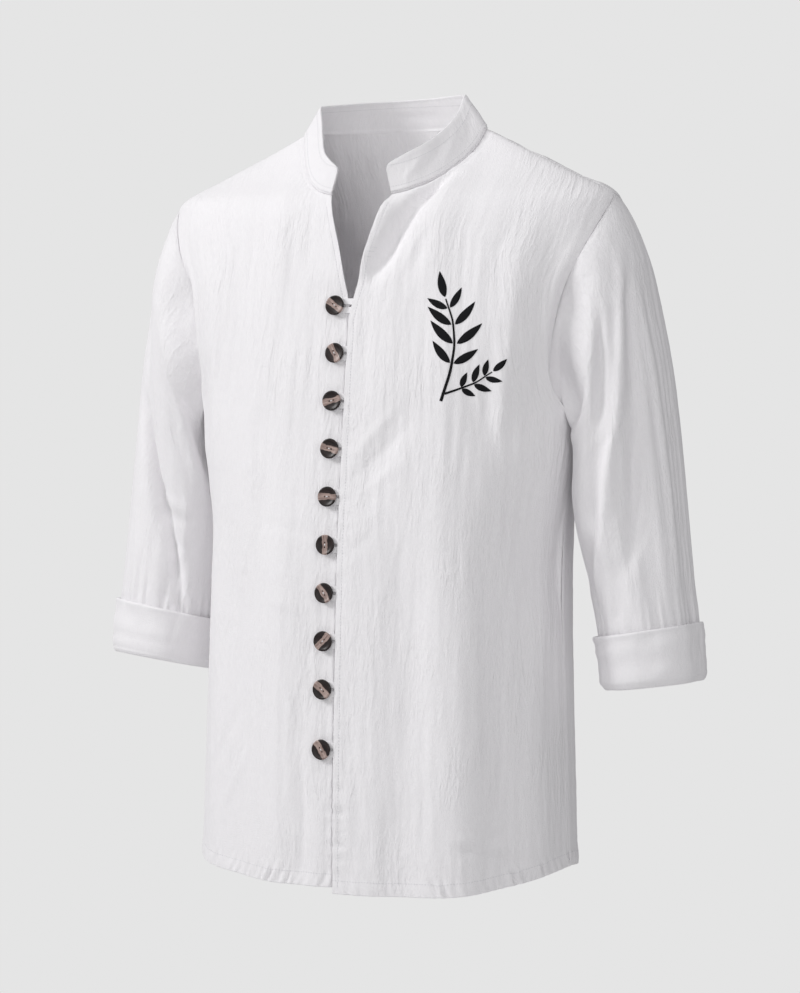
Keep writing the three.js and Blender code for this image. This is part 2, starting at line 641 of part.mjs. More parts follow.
function toGeometry(body) {
  const mesh = body.getMesh();
  const geometry = new THREE.BufferGeometry();
  geometry.setAttribute("position", new THREE.BufferAttribute(new Float32Array(mesh.vertProperties), 3));
  geometry.setIndex(new THREE.BufferAttribute(new Uint32Array(mesh.triVerts), 1));
  return geometry;
}

// A dished button with two thread holes, on the short thread shank that holds it off the cloth.
function buttonBlank() {
  const under = LOOP_LEVEL + LOOP_THICK + 0.35;
  const foot = -UNDER_SINK + 0.35;
  const face = under + BUTTON_THICK;
  const profile = [
    [0, foot],
    [1.6, foot],
    [1.6, under],
    [BUTTON_RADIUS - 1.6, under],
    [BUTTON_RADIUS, under + 1.2],
    [BUTTON_RADIUS - 0.4, face - 0.4],
    [BUTTON_RADIUS - 1.6, face],
    [4.6, face - 0.9],
    [0, face - 1.1],
  ].map(([r, y]) => new THREE.Vector2(r, y));
  const body = toManifold(new THREE.LatheGeometry(profile, 16).rotateX(Math.PI / 2));
  const hole = (x) => {
    const drill = new THREE.CylinderGeometry(0.9, 0.9, 2 * BUTTON_THICK, 6).rotateX(Math.PI / 2);
    return toManifold(drill.translate(x, 0, under + BUTTON_THICK + 0.9));
  };
  return toGeometry(body.subtract(hole(2.4)).subtract(hole(-2.4)));
}

const shirt = new THREE.Group();

function add(name, geometry, look) {
  const mesh = new THREE.Mesh(geometry, look());
  mesh.name = name;
  shirt.add(mesh);
}

add("front_left", frontPanel("front_left", 1, 0), CLOTH_LOOK);
add("front_right", frontPanel("front_right", -1, UNDERLAP), CLOTH_LOOK);
add("back", backPanel(), CLOTH_LOOK);
add("collar", collar(), CLOTH_LOOK);
for (const [word, side] of [["left", 1], ["right", -1]]) {
  add(`sleeve_${word}`, sleeve(`sleeve_${word}`, side), CLOTH_LOOK);
  add(`cuff_${word}`, cuff(`sleeve_${word}`, side), CLOTH_LOOK);
}
buttonHeights.forEach((z, i) => {
  const number = String(i + 1).padStart(2, "0");
  add(`loop_${number}`, loop(z), CLOTH_LOOK);
  const button = buttonBlank();
  add(`button_${number}`, button.applyMatrix4(buttonFrame(z)), BUTTON_LOOK);
});

export default shirt;
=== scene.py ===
"""Mandarin collar shirt of crinkled white gauze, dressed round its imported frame.

The garment's sizes are in millimetres. A mesh gets metres only when it is made. The front faces -Y,
+X is the wearer's left, and the origin is the middle of the neck base.
"""

import math

import bmesh
import bpy
import numpy as np
from mathutils import Matrix, Vector
from mathutils.bvhtree import BVHTree


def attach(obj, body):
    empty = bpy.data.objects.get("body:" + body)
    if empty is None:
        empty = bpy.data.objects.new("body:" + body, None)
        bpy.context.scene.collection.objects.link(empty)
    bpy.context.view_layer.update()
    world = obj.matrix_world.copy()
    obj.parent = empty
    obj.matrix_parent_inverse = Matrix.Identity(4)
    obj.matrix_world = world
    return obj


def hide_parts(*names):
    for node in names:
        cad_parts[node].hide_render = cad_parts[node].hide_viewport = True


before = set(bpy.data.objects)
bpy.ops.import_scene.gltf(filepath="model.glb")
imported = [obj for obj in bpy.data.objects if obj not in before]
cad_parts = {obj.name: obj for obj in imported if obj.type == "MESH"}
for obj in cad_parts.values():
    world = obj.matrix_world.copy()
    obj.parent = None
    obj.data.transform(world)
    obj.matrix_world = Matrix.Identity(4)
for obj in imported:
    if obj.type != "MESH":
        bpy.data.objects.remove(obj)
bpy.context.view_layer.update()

MM = 0.001
SIDES = (("left", 1), ("right", -1))


def table(columns, *rows):
    """Sizes in named columns. A table is read against its first column."""
    return dict(zip(columns.split(), np.array(rows, float).T))


# Driving sizes. Those of the garment's form are the solids' own. The cloth's thickness is not
CLOTH = 0.8
COLLAR_WALL = 2.2
SHOULDER_TIP_Z = -66
ARMPIT_Z = -288
HEM_SIDE_Z = -721
HEM_MIDDLE_Z = {"front_left": -741, "front_right": -735.5, "back": -747}
NOTCH_Z = -169
BUTTON_COUNT = 10
BUTTON_RADIUS = 9.8
BUTTON_THICK = 3.2
BUTTON_INSET = 12.5
TOP_BUTTON_INSET = 15.5
FIRST_BUTTON_Z = -175.7
BUTTON_PITCH = 46.3
LAST_BUTTON_Z = -603.8
LOOP_WIDTH = 14.6
LOOP_THICK = 1.2
LOOP_LEVEL = -2.2
LOOP_UNDER = 5  # how far a loop's ends run on under the over front
BUTTON_LEVEL = 0.05
UNDERLAP = 6
UNDER_SINK = 2.5
ARMPIT_SHARE = 0.52
ARMHOLE_REACH = 0.58
ARMHOLE_POWER = 1.35
BACK_NECK_Z = 5
BACK_NECK_SHARE = 0.42
UNDERARM_POWER = 0.78
FRONT_RISE = {"sleeve_left": 0.02, "sleeve_right": 0.17}
CUFF_TOP_STATION = 10.77
LAST_STATION = 12
CAP_STATIONS = 4
COLLAR_CORNER = 8
COLLAR_TILT = 0.03
SHOULDER_SHARE = 0.5
NECK_FRONT_SHARE = 0.77
ARMHOLE_ROUND = 250  # cloth along the armhole, from the armpit to the shoulder
GROOVE_DEPTH = 12
GROOVE_TOP_Z = -118
V_FLARE = 6.5  # how far the cloth beside the V stands off the chest
V_FLARE_WIDTH = 14
SLIT_DEPTH = 2.8  # how far the under front drops along the over front's edge

# Grid steps of the cloth, and the finer rows and columns beside an edge
ROW_STEP = 4.0
FRONT_COLUMNS = 158
BACK_COLUMNS = 112
EDGE_STEPS = np.array([0, 0.5, 1.1, 1.9, 3.0])
UNDER_STEPS = np.array([0, 0.6, 1.6, 3.0, 4.2, 5.0, 5.6, 6.1, 6.6, 7.2, 8.0, 9.2, 11.0])
SLEEVE_RINGS = 118
SLEEVE_COLUMNS = 150

# The worn torso in level sections: half width, depth in front of and behind the side line, where the
# side line lies in y, and how square the section is
TORSO = table(
    "z half front back side power",
    (-770, 194.5, 132, 110, 6, 2.3),
    (-668, 190.5, 132, 108, 6, 2.35),
    (-568, 187, 130, 107, 7, 2.4),
    (-468, 184, 127, 108, 8, 2.4),
    (-400, 184.5, 126, 113, 11, 2.4),
    (-360, 189.5, 122, 112, 11, 2.4),
    (-320, 197, 117.5, 111, 11, 2.4),
    (-288, 201.5, 114, 111, 11, 2.4),
    (-262, 207, 111.5, 112, 11, 2.35),
    (-238, 215, 109, 113, 11.5, 2.32),
    (-215, 226, 106, 114, 12, 2.3),
    (-172, 240, 101, 114, 13.5, 2.25),
    (-120, 246, 91, 111, 14, 2.15),
    (-84, 243, 81, 105, 14, 2.1),
    (-66, 235, 69, 100, 14, 2.1),
    (-48, 200, 46, 92, 14.5, 2.05),
    (-32, 167, 28.5, 84, 15, 2.0),
    (-16, 133, 14, 77, 16, 2.0),
    (0, 100, 5, 70, 16, 2.0),
    (14, 71, 2, 66, 15, 2.0),
)

# Front edge of a front along the V, and round the neck. The opening stands a little to the
# wearer's right
V_EDGE = table(
    "v left right z",
    (0.6, 0, 0, -187),
    (0.63, 3.5, 3.5, NOTCH_Z),
    (0.7, 15, 17.8, -118),
    (0.77, 29.6, 36.4, -65.5),
)
NECK_EDGE = table(
    "v left right z",
    (0.77, 29.6, 36.4, -65.5),
    (0.83, 47.5, 52.5, -61),
    (0.88, 68, 70.5, -50),
    (0.93, 85, 85.5, -33),
    (0.97, 95, 95, -16),
    (1, 100, 100, 0),
)

# Sleeve stations from the armhole to the end under the cuff
SLEEVE = table(
    "k outer_x outer_z inner_x inner_z mid_y half_y",
    (0, 235, -66, 201.5, -288, 18, 64),
    (1, 246, -80, 203.5, -292, 18, 64),
    (2, 255.5, -98, 205, -297, 19.5, 64),
    (3, 263, -122, 205.5, -303, 22, 63.5),
    (4, 270, -151, 205, -312, 24.5, 63),
    (5, 277.5, -187, 203.5, -325, 27, 62.5),
    (6, 285.5, -231, 201, -344, 29.5, 61),
    (7, 292, -279, 198, -370, 31, 59),
    (8, 298.5, -333, 201, -403, 32, 56.5),
    (9, 304.5, -391, 208, -441, 31.5, 53.5),
    (10, 310.5, -450, 215.5, -477, 30, 50),
    (11, 315, -492, 220, -506, 28.5, 47.5),
    (12, 317, -535, 225.5, -547, 27, 46),
)

# A cuff's section, all round: how far off the sleeve, and how far below its top as a share of its depth
CUFF_SECTION = table(
    "off down",
    (4.6, -0.008),
    (5.2, 0.02),
    (5.0, 0.12),
    (4.8, 0.5),
    (4.6, 0.8),
    (3.9, 0.93),
    (2.7, 0.995),
    (1.2, 1.035),
    (0.0, 1.045),
    (-1.0, 1.035),
    (-1.5, 1.012),
    (-0.6, 0.995),
    (0.6, 0.98),
    (1.4, 0.5),
    (2.6, 0.12),
    (3.4, 0.01),
    (3.9, -0.008),
)

# The collar band: how its top edge stands from its foot, from the front end to the centre back
COLLAR = table(
    "t lean back rise",
    (0, -8, 1, 26),
    (0.08, -8.5, 3, 30.5),
    (0.18, -10, 5, 33.5),
    (0.36, -17, 3, 33),
    (0.52, -21, -7, 30),
    (0.75, -14, -15, 30.5),
    (1, 0, -17, 31),
)

# Folds as the solids have them. On the body x is away from the centre. On a sleeve it is degrees
# round from the outer side over the front, and z is the station. lift is outwards, and open is 1
# where a fold runs out at an edge
FOLD_COLUMNS = "x1 z1 x2 z2 width lift open"


def fold_tables(**parts):
    return {name: table(FOLD_COLUMNS, *rows) for name, rows in parts.items()}


FOLDS = fold_tables(
    front_left=(
        (62, -330, 72, -790, 18, -3.6, 1),
        (104, -300, 112, -790, 19, 4.0, 1),
        (158, -340, 158, -790, 18, -4.4, 1),
        (206, -90, 176, -330, 15, -5.0, 0),
        (166, -70, 152, -400, 18, 3.2, 0),
        (92, -10, 70, -190, 15, 2.2, 0),
        (0, -395, 80, -255, 14, -2.6, 0),
    ),
    front_right=(
        (58, -330, 64, -790, 19, 2.8, 1),
        (104, -340, 114, -790, 19, -3.6, 1),
        (158, -330, 160, -790, 18, 3.0, 1),
        (206, -90, 180, -330, 15, -4.4, 0),
        (166, -70, 152, -400, 18, 3.0, 0),
        (92, -10, 74, -190, 15, 2.0, 0),
    ),
    back=(
        (-154, -300, -154, -790, 19, 3.8, 1),
        (-104, -150, -98, -790, 20, -4.4, 1),
        (-48, -300, -46, -790, 20, 3.6, 1),
        (6, -200, 4, -790, 21, -4.0, 1),
        (58, -280, 60, -790, 20, 3.8, 1),
        (108, -140, 110, -790, 19, -4.2, 1),
        (160, -280, 160, -790, 19, 3.6, 1),
    ),
    sleeve_left=(
        (14, 2, 8, 13.5, 14, -2.8, 1),
        (60, 1.5, 66, 12, 15, -4.4, 0),
        (94, 0.5, 98, 13.5, 15, 2.8, 1),
        (138, 0.6, 140, 9, 17, 9.5, 0),
        (134, 8, 132, 13, 14, -4.4, 0),
        (-54, 1.5, -60, 12, 16, -4.0, 0),
        (-96, 1, -92, 12, 15, 3.2, 0),
    ),
    sleeve_right=(
        (36, 3.6, 80, 8.4, 15, -4.4, 0),
        (70, 7, 132, 11.5, 15, -5.0, 0),
        (96, 0.5, 104, 8, 15, 3.0, 0),
        (20, 4, 24, 13.5, 15, 2.4, 1),
        (-40, 1.5, -36, 12, 16, -3.6, 0),
        (-92, 1, -94, 12, 15, 3.2, 0),
    ),
)

# Creases that the solids leave out, in the same columns
CREASES = fold_tables(
    front_left=(
        (132, -380, 134, -790, 30, 3.0, 1),
        (4, -330, 62, -268, 5, 1.2, 0),
        (4, -352, 70, -290, 5, -1.2, 0),
        (8, -372, 66, -322, 6, 1.2, 0),
        (4, -420, 40, -395, 5, -0.7, 0),
        (64, -400, 62, -470, 4, -0.8, 0),
        (76, -386, 72, -520, 5, 0.8, 0),
        (112, -688, 182, -712, 3.5, -1.7, 0),
        (112, -680, 178, -702, 4, 1.3, 0),
        (116, -700, 170, -676, 4, -1.2, 0),
        (28, -640, 36, -720, 5, -0.8, 0),
        (14, -600, 18, -716, 5, 0.7, 0),
        (146, -190, 140, -300, 6, -1.0, 0),
        (158, -200, 150, -320, 5, 0.9, 0),
        (174, -140, 160, -330, 6, -1.2, 0),
        (130, -110, 120, -250, 5, 0.7, 0),
        (84, -84, 62, -150, 6, -0.9, 0),
        (72, -90, 50, -150, 5, 0.8, 0),
        (84, -20, 16, -160, 9, -12.0, 0),
        (130, -225, 196, -500, 17, -5.0, 0),
        (126, -280, 130, -790, 14, 2.6, 1),
        (80, -390, 82, -640, 13, -2.4, 0),
        (56, -640, 52, -790, 14, -2.0, 1),
        (172, -420, 170, -600, 5, -1.0, 0),
        (182, -330, 180, -560, 4, 0.8, 0),
        (90, -560, 92, -700, 5, -0.7, 0),
        (134, -470, 136, -640, 6, 0.8, 0),
    ),
    front_right=(
        (40, -590, 62, -520, 5, 1.0, 0),
        (36, -610, 30, -700, 4, -1.1, 0),
        (44, -600, 40, -720, 5, 0.8, 0),
        (20, -400, 90, -386, 5, -0.6, 0),
        (16, -470, 84, -462, 5, 0.6, 0),
        (22, -330, 60, -280, 5, -0.6, 0),
        (110, -560, 150, -640, 5, -0.8, 0),
        (96, -600, 140, -676, 5, 0.8, 0),
        (60, -190, 64, -330, 6, 0.7, 0),
        (76, -70, 62, -180, 6, -0.8, 0),
        (110, -90, 112, -240, 5, 0.7, 0),
        (150, -150, 146, -300, 6, -0.8, 0),
        (128, -420, 126, -520, 5, -0.6, 0),
        (92, -250, 84, -430, 12, -2.2, 0),
        (24, -520, 20, -790, 13, 2.4, 1),
    ),
    back=(
        (-130, -90, -124, -260, 6, -1.0, 0),
        (-76, -60, -72, -220, 6, 0.8, 0),
        (20, -50, 26, -240, 6, -0.8, 0),
        (84, -80, 80, -260, 6, 0.9, 0),
        (140, -120, 150, -300, 6, -1.0, 0),
        (-120, -420, -40, -396, 6, -0.8, 0),
        (-30, -440, 60, -420, 6, 0.7, 0),
        (50, -560, 130, -586, 5, -0.8, 0),
        (-150, -600, -80, -640, 5, 0.8, 0),
        (-20, -640, -24, -740, 5, -0.8, 0),
        (90, -620, 92, -735, 5, 0.8, 0),
    ),
    sleeve_left=(
        (80, 6.0, 102, 8.6, 7, 3.4, 0),
        (99, 8.2, 144, 9.7, 7, 3.2, 0),
        (98, 6.0, 120, 8.4, 13, -6.0, 0),
        (116, 8.1, 156, 9.5, 12, -5.0, 0),
        (92, 8.9, 104, 10.6, 8, -3.0, 0),
        (33, 2.2, 83, 7.2, 8, 6.0, 0),
        (70, 2.2, 103, 6.8, 8, -6.0, 0),
        (83, 6.4, 108, 9.4, 8, 4.0, 0),
        (36, 2.6, 56, 7.4, 8, -5.0, 0),
        (55, 6.6, 84, 9.6, 8, -6.0, 0),
        (118, 0.2, 132, 4.6, 18, -13.0, 0),
        (134, 3.6, 138, 8.2, 16, -5.0, 0),
        (-2, 2.5, 2, 11, 3, -2.2, 0),
        (8, 5, 8, 11.2, 3, -2.2, 0),
        (16, 3, 17, 10.8, 3.2, -1.8, 0),
        (-10, 4, -8, 11, 3.4, -1.8, 0),
        (25, 3, 26, 10.6, 4, 1.6, 0),
        (33, 4, 34, 9.5, 3.2, -1.6, 0),
        (46, 6, 44, 10.8, 5, 0.9, 0),
        (72, 4, 78, 10.6, 6, 1.0, 0),
        (84, 2, 90, 7, 5, -0.9, 0),
        (52, 8.6, 80, 9.2, 4, -0.9, 0),
        (108, 4, 112, 10.6, 6, -1.2, 0),
        (-30, 2, -34, 9, 6, 1.0, 0),
        (-76, 3, -70, 10, 6, -1.0, 0),
        (-116, 3, -110, 10, 6, 1.0, 0),
        (-146, 5, -140, 11, 6, -1.0, 0),
        (160, 5, 158, 11, 6, 1.0, 0),
    ),
    sleeve_right=(
        (40, 6.0, 142, 10.4, 8, -13.0, 0),
        (112, 3.0, 146, 7.6, 14, 7.0, 0),
        (78, 8.5, 136, 8.1, 4, -2.2, 0),
        (82, 8.15, 134, 7.75, 5, 1.8, 0),
        (94, 9.15, 132, 8.75, 3.4, -1.8, 0),
        (110, 9.1, 140, 11, 9, -5.0, 0),
        (126, 9.2, 150, 10.8, 5, 1.6, 0),
        (56, 9.9, 58, 11, 3, -1.8, 0),
        (86, 9.8, 88, 11, 3, -2.0, 0),
        (96, 8.9, 92, 10.8, 5, 1.0, 0),
        (112, 9, 106, 10.8, 4, -1.1, 0),
        (74, 9.4, 76, 10.9, 4, -1.2, 0),
        (62, 8.8, 64, 10.8, 5, 0.9, 0),
        (120, 7, 126, 10.6, 4, 1.2, 0),
        (48, 2, 52, 7, 5, -0.9, 0),
        (104, 2, 112, 7, 6, -1.0, 0),
        (4, 3, 6, 10, 5, -0.8, 0),
        (-20, 2, -16, 9, 6, 1.0, 0),
        (-66, 3, -60, 10, 6, -1.0, 0),
        (-120, 3, -114, 10, 6, 1.0, 0),
        (160, 4, 156, 10.4, 6, -1.0, 0),
    ),
)
MM_PER_DEGREE = 0.95
MM_PER_STATION = 42
SLEEVE_ROUND = 345  # cloth round a sleeve, for its weave
SLEEVE_RADIUS = 55
WEAVE_PER_STATION = 40.0

# Where on the random relief each piece of cloth lies
RELIEF_SHIFT = {
    "front_left": 37,
    "front_right": 151,
    "back": 263,
    "sleeve_left": 71,
    "sleeve_right": 197,
    "cuff_left": 311,
    "cuff_right": 29,
    "collar": 407,
}


def smooth(t):
    c = np.clip(t, 0, 1)
    return c * c * (3 - 2 * c)


def mix(a, b, t):
    return a + (b - a) * t


def signed_power(value, exponent):
    return np.sign(value) * np.abs(value) ** exponent


def unit(vectors):
    return vectors / np.maximum(np.linalg.norm(vectors, axis=-1, keepdims=True), 1e-12)


def read(sizes, column, at):
    """A smooth curve through one column of a table."""
    along, values = next(iter(sizes.values())), sizes[column]
    slope = np.gradient(values, along)
    slope[1:-1] = (values[2:] - values[:-2]) / (along[2:] - along[:-2])
    x = np.clip(at, along[0], along[-1])
    i = np.clip(np.searchsorted(along, x) - 1, 0, len(along) - 2)
    span = along[i + 1] - along[i]
    t = (x - along[i]) / span
    rise = (1 - t) ** 2 * t * span * slope[i] - (1 - t) * t * t * span * slope[i + 1]
    return values[i] + (values[i + 1] - values[i]) * smooth(t) + rise


def torso_point(angle, z):
    """A point on the torso. The angle runs from the side line, positive over the front."""
    angle, z = np.broadcast_arrays(np.asarray(angle, float), np.asarray(z, float))
    exponent = 2 / read(TORSO, "power", z)
    depth = np.where(angle > 0, -read(TORSO, "front", z), read(TORSO, "back", z))
    across = read(TORSO, "half", z) * signed_power(np.cos(angle), exponent)
    along = depth * np.abs(np.sin(angle)) ** exponent
    return np.stack([across, read(TORSO, "side", z) + along, z], -1)


def torso_angle(x, z):
    share = np.clip(x / read(TORSO, "half", z), -1, 1)
    return np.arccos(signed_power(share, read(TORSO, "power", z) / 2))


def torso_normal(angle, z):
    turn, climb = 0.012, 1
    around = torso_point(angle + turn, z) - torso_point(angle - turn, z)
    up = torso_point(angle, z + climb) - torso_point(angle, z - climb)
    return unit(np.cross(up, around))


def fold_lift(folds, x, z, per_x=1.0, per_z=1.0):
    """Sum of folds at a place, each a soft ridge or trough along a straight line."""
    lift = np.zeros(np.broadcast(x, z).shape)
    for x1, z1, x2, z2, width, height, is_open in zip(*folds.values()):
        dx, dz = (x2 - x1) * per_x, (z2 - z1) * per_z
        px, pz = (x - x1) * per_x, (z - z1) * per_z
        t = np.clip((px * dx + pz * dz) / (dx * dx + dz * dz), 0, 1)
        away = np.hypot(px - t * dx, pz - t * dz) / width
        ends = smooth(t / 0.3) * (1 if is_open else smooth((1 - t) / 0.3))
        lift += height * ends * np.exp(-away * away)
    return lift


class Relief:
    """A patch of soft random relief that repeats every PATCH millimetres, stretched along the warp."""

    CELLS = 512
    PATCH = (384.0, 768.0)

    def __init__(self, seed, across, along):
        rough = np.random.default_rng(seed).standard_normal((self.CELLS, self.CELLS))
        fu = np.abs(np.fft.fftfreq(self.CELLS, self.PATCH[0] / self.CELLS))[:, None]
        fv = np.fft.fftfreq(self.CELLS, self.PATCH[1] / self.CELLS)[None, :]
        gain = np.exp(-0.5 * ((fu * across - 1) / 0.5) ** 2) * np.exp(-0.5 * (fv * along * 2) ** 2)
        field = np.fft.ifft2(np.fft.fft2(rough) * gain).real
        self.field = field / field.std()

    def at(self, u, v):
        """Relief at cloth coordinates, in standard deviations."""
        a = np.mod(u / self.PATCH[0], 1) * self.CELLS
        b = np.mod(v / self.PATCH[1], 1) * self.CELLS
        i, j = np.floor(a).astype(int) % self.CELLS, np.floor(b).astype(int) % self.CELLS
        s, t = a - np.floor(a), b - np.floor(b)
        i1, j1 = (i + 1) % self.CELLS, (j + 1) % self.CELLS
        f = self.field
        return (f[i, j] * (1 - s) + f[i1, j] * s) * (1 - t) + (f[i, j1] * (1 - s) + f[i1, j1] * s) * t


DRAPE = Relief(seed=11, across=62, along=210)
CRINKLE = Relief(seed=12, across=17, along=64)
CREASED = Relief(seed=13, across=26, along=80)
FINE_CREASED = Relief(seed=17, across=13, along=38)
CALM = Relief(seed=14, across=110, along=130)
PUCKER = Relief(seed=15, across=11, along=14)


def crests(relief, u, v):
    """Narrow wandering ridges, where a relief crosses zero."""
    return np.maximum(0, 1 - np.abs(relief.at(u, v)) * 2.2) ** 1.3


def gauze(u, v, shift):
    """Height of the crinkled gauze, uneven from place to place."""
    u, v = u + shift, v + 2.3 * shift
    crinkled = smooth(0.5 + 0.45 * CALM.at(u, v))
    slanted = u + 0.16 * v
    ridges = 0.42 * crests(CREASED, slanted, v) + 0.24 * crests(FINE_CREASED, u - 0.1 * v, v)
    soft = 0.44 * DRAPE.at(u, v) + 0.15 * CRINKLE.at(u, v)
    return soft + ridges * mix(0.25, 1, crinkled) - 0.25


def armhole(turn):
    """The armhole from the armpit (turn 0) to the shoulder tip (turn pi): torso angle and height."""
    middle, half = (SHOULDER_TIP_Z + ARMPIT_Z) / 2, (SHOULDER_TIP_Z - ARMPIT_Z) / 2
    reach = ARMHOLE_REACH * np.maximum(0, np.sin(turn)) ** ARMHOLE_POWER
    return reach, middle - half * np.cos(turn)


def armhole_groove(z):
    """How far the armhole seam is drawn in between the body and the hanging sleeve."""
    return -GROOVE_DEPTH * smooth((GROOVE_TOP_Z - z) / 55) * smooth((z - ARMPIT_Z) / 36)


def outer_edge(v):
    """Side of a panel: up the side seam to the armpit, then round the armhole to the shoulder."""
    reach, z = armhole(np.pi * np.maximum(0, v - ARMPIT_SHARE) / (1 - ARMPIT_SHARE))
    below = v <= ARMPIT_SHARE
    return np.where(below, 0, reach), np.where(below, mix(HEM_SIDE_Z, ARMPIT_Z, v / ARMPIT_SHARE), z)


def hem_lift(s, v, rise):
    return rise * (smooth(s**1.4) - s) * np.maximum(0, 1 - v / 0.35) ** 2


def neck_edge(v, word):
    """The edge of the V and of the neck: how far from the centre, and its height."""
    on_v = v < NECK_EDGE["v"][0]
    x = np.where(on_v, read(V_EDGE, word, v), read(NECK_EDGE, word, v))
    return x, np.where(on_v, read(V_EDGE, "z", v), read(NECK_EDGE, "z", v))


def front_edge(v, name, underlap):
    first = V_EDGE["v"][0]
    past = underlap * (1 - smooth((v - 0.58) / 0.04))
    x, z = neck_edge(v, name.removeprefix("front_"))
    x = np.where(v <= first, 0, x) - past
    return x, np.where(v <= first, mix(HEM_MIDDLE_Z[name], V_EDGE["z"][0], v / first), z)


def front_place(s, v, name):
    """Torso angle and height at share s across a front and share v up it."""
    x, z = front_edge(v, name, UNDERLAP if name == "front_right" else 0)
    outer_angle, outer_z = outer_edge(v)
    lift = hem_lift(s, v, HEM_SIDE_Z - HEM_MIDDLE_Z[name])
    return mix(torso_angle(x, z), outer_angle, s), mix(z, outer_z, s) + lift


def back_place(s, v, _name):
    """The same for half the back, from its centre to its side."""
    centre_angle, centre_z = np.pi / 2, mix(HEM_MIDDLE_Z["back"], BACK_NECK_Z, v)
    outer_angle, outer_z = outer_edge(v)
    weight = smooth((v - 0.55) / 0.45)
    drop = mix(s, 1 - (1 - s) ** 2, weight)
    angle, z = mix(centre_angle, outer_angle, s), mix(centre_z, outer_z, drop)
    t = s / BACK_NECK_SHARE
    along_seam = (s - BACK_NECK_SHARE) / (1 - BACK_NECK_SHARE)
    top_angle = np.where(t < 1, (1 - t) * centre_angle, 0)
    top_z = np.where(t < 1, mix(BACK_NECK_Z, 0, np.minimum(t, 1) ** 3), mix(0, SHOULDER_TIP_Z, along_seam))
    angle = angle + (top_angle - mix(centre_angle, 0, s)) * weight
    z = z + (top_z - mix(BACK_NECK_Z, SHOULDER_TIP_Z, drop)) * weight
    return -angle, z + hem_lift(s, v, HEM_SIDE_Z - HEM_MIDDLE_Z["back"])


def graded(length, step, first=EDGE_STEPS):
    """Places along a length, even in the middle and closer beside both ends."""
    middle = np.linspace(first[-1], length - first[-1], max(3, round(length / step)))[1:-1]
    return np.concatenate([first, middle, (length - first)[::-1]])


def row_shares():
    """Rows of a panel: even below the armpit, and even along the armhole above it."""
    lower_length = ARMPIT_Z - HEM_SIDE_Z
    lower = graded(lower_length, ROW_STEP)[: -len(EDGE_STEPS)] / lower_length * ARMPIT_SHARE
    upper = graded(ARMHOLE_ROUND, ROW_STEP)[len(EDGE_STEPS) :] / ARMHOLE_ROUND
    return np.concatenate([lower, [ARMPIT_SHARE], mix(ARMPIT_SHARE, 1, upper)])


def even_rows(place, name, rows, columns, first=EDGE_STEPS):
    """Evenly spaced places along each row: torso angle, height, and the way run from the row's start."""
    fine = np.linspace(0, 1, 401)
    angle, z = place(fine[None, :], rows[:, None], name)
    points = torso_point(angle, z)
    steps = np.linalg.norm(np.diff(points, axis=1), axis=-1)
    run = np.concatenate([np.zeros((len(rows), 1)), np.cumsum(steps, axis=1)], axis=1)
    out = []
    for r in range(len(rows)):
        middle = np.linspace(first[-1], run[r, -1] - EDGE_STEPS[-1], columns)[1:-1]
        want = np.concatenate([first, middle, (run[r, -1] - EDGE_STEPS)[::-1]])
        share = np.interp(want, run[r], fine)
        out.append((np.interp(share, fine, angle[r]), np.interp(share, fine, z[r]), want))
    return (np.array(part) for part in zip(*out))


def seam_dip(distance):
    """The small valley where two pieces are sewn together."""
    return -0.55 * np.exp(-((distance / 1.5) ** 2))


def side_ridge(to_side, over_armpit):
    """The felled side seam stands up as a thin ridge."""
    return 0.75 * ridge(to_side, 1.9, 1.1) * (1 - over_armpit)


def ridge(distance, at, width):
    return np.exp(-(((distance - at) / width) ** 2))


HEM_STITCH = 12.5  # height of the hem's sewing above its edge
EDGE_STITCH = 5.5  # sewing beside the front edges
HEM_EXTRA = 0.5  # turned-up cloth under the hem


def hem_relief(u, height, shift):
    """The turned hem: its double cloth, the sewn groove, and puckers that the sewing draws."""
    band = HEM_EXTRA * (1 - smooth((height - HEM_STITCH) / 2))
    groove = -0.45 * ridge(height, HEM_STITCH, 1.6)
    drawn = np.exp(-(((height - 7) / 8) ** 2))
    slanted = u + 0.5 * height
    strength = mix(0.35, 1, smooth(0.5 + 0.5 * CALM.at(u * 2 + shift, u * 0)))
    return band + groove + 0.95 * drawn * strength * PUCKER.at(slanted + shift, height * 0.3)


def edge_relief(v, distance, shift):
    """Small ripples that the sewing draws beside a front edge."""
    near = np.exp(-(((distance - 6) / 8) ** 2))
    groove = -0.3 * ridge(distance, EDGE_STITCH, 1.4)
    strength = mix(0.3, 0.9, smooth((-620 - v) / 30))
    return groove + strength * near * PUCKER.at(v + shift, distance * 0.2)


def panel_seams(rows, to_side, over_armpit):
    """Relief along a panel's side, shoulder and armhole seams."""
    groove = armhole_groove(outer_edge(rows)[1]) * over_armpit * ridge(to_side, 0, 7)
    return seam_dip(to_side) + seam_dip((1 - rows) * ARMHOLE_ROUND) + groove


class Sheet:
    """A grid of cloth: outer points, the normals that its thickness follows, and its weave coordinates."""

    def __init__(self, point, normal, weave, closed_round=False):
        self.point, self.normal, self.weave, self.closed_round = point, normal, weave, closed_round

    def mirrored(self):
        flip = np.array([-1, 1, 1])
        return Sheet(self.point * flip, self.normal * flip, self.weave, self.closed_round)


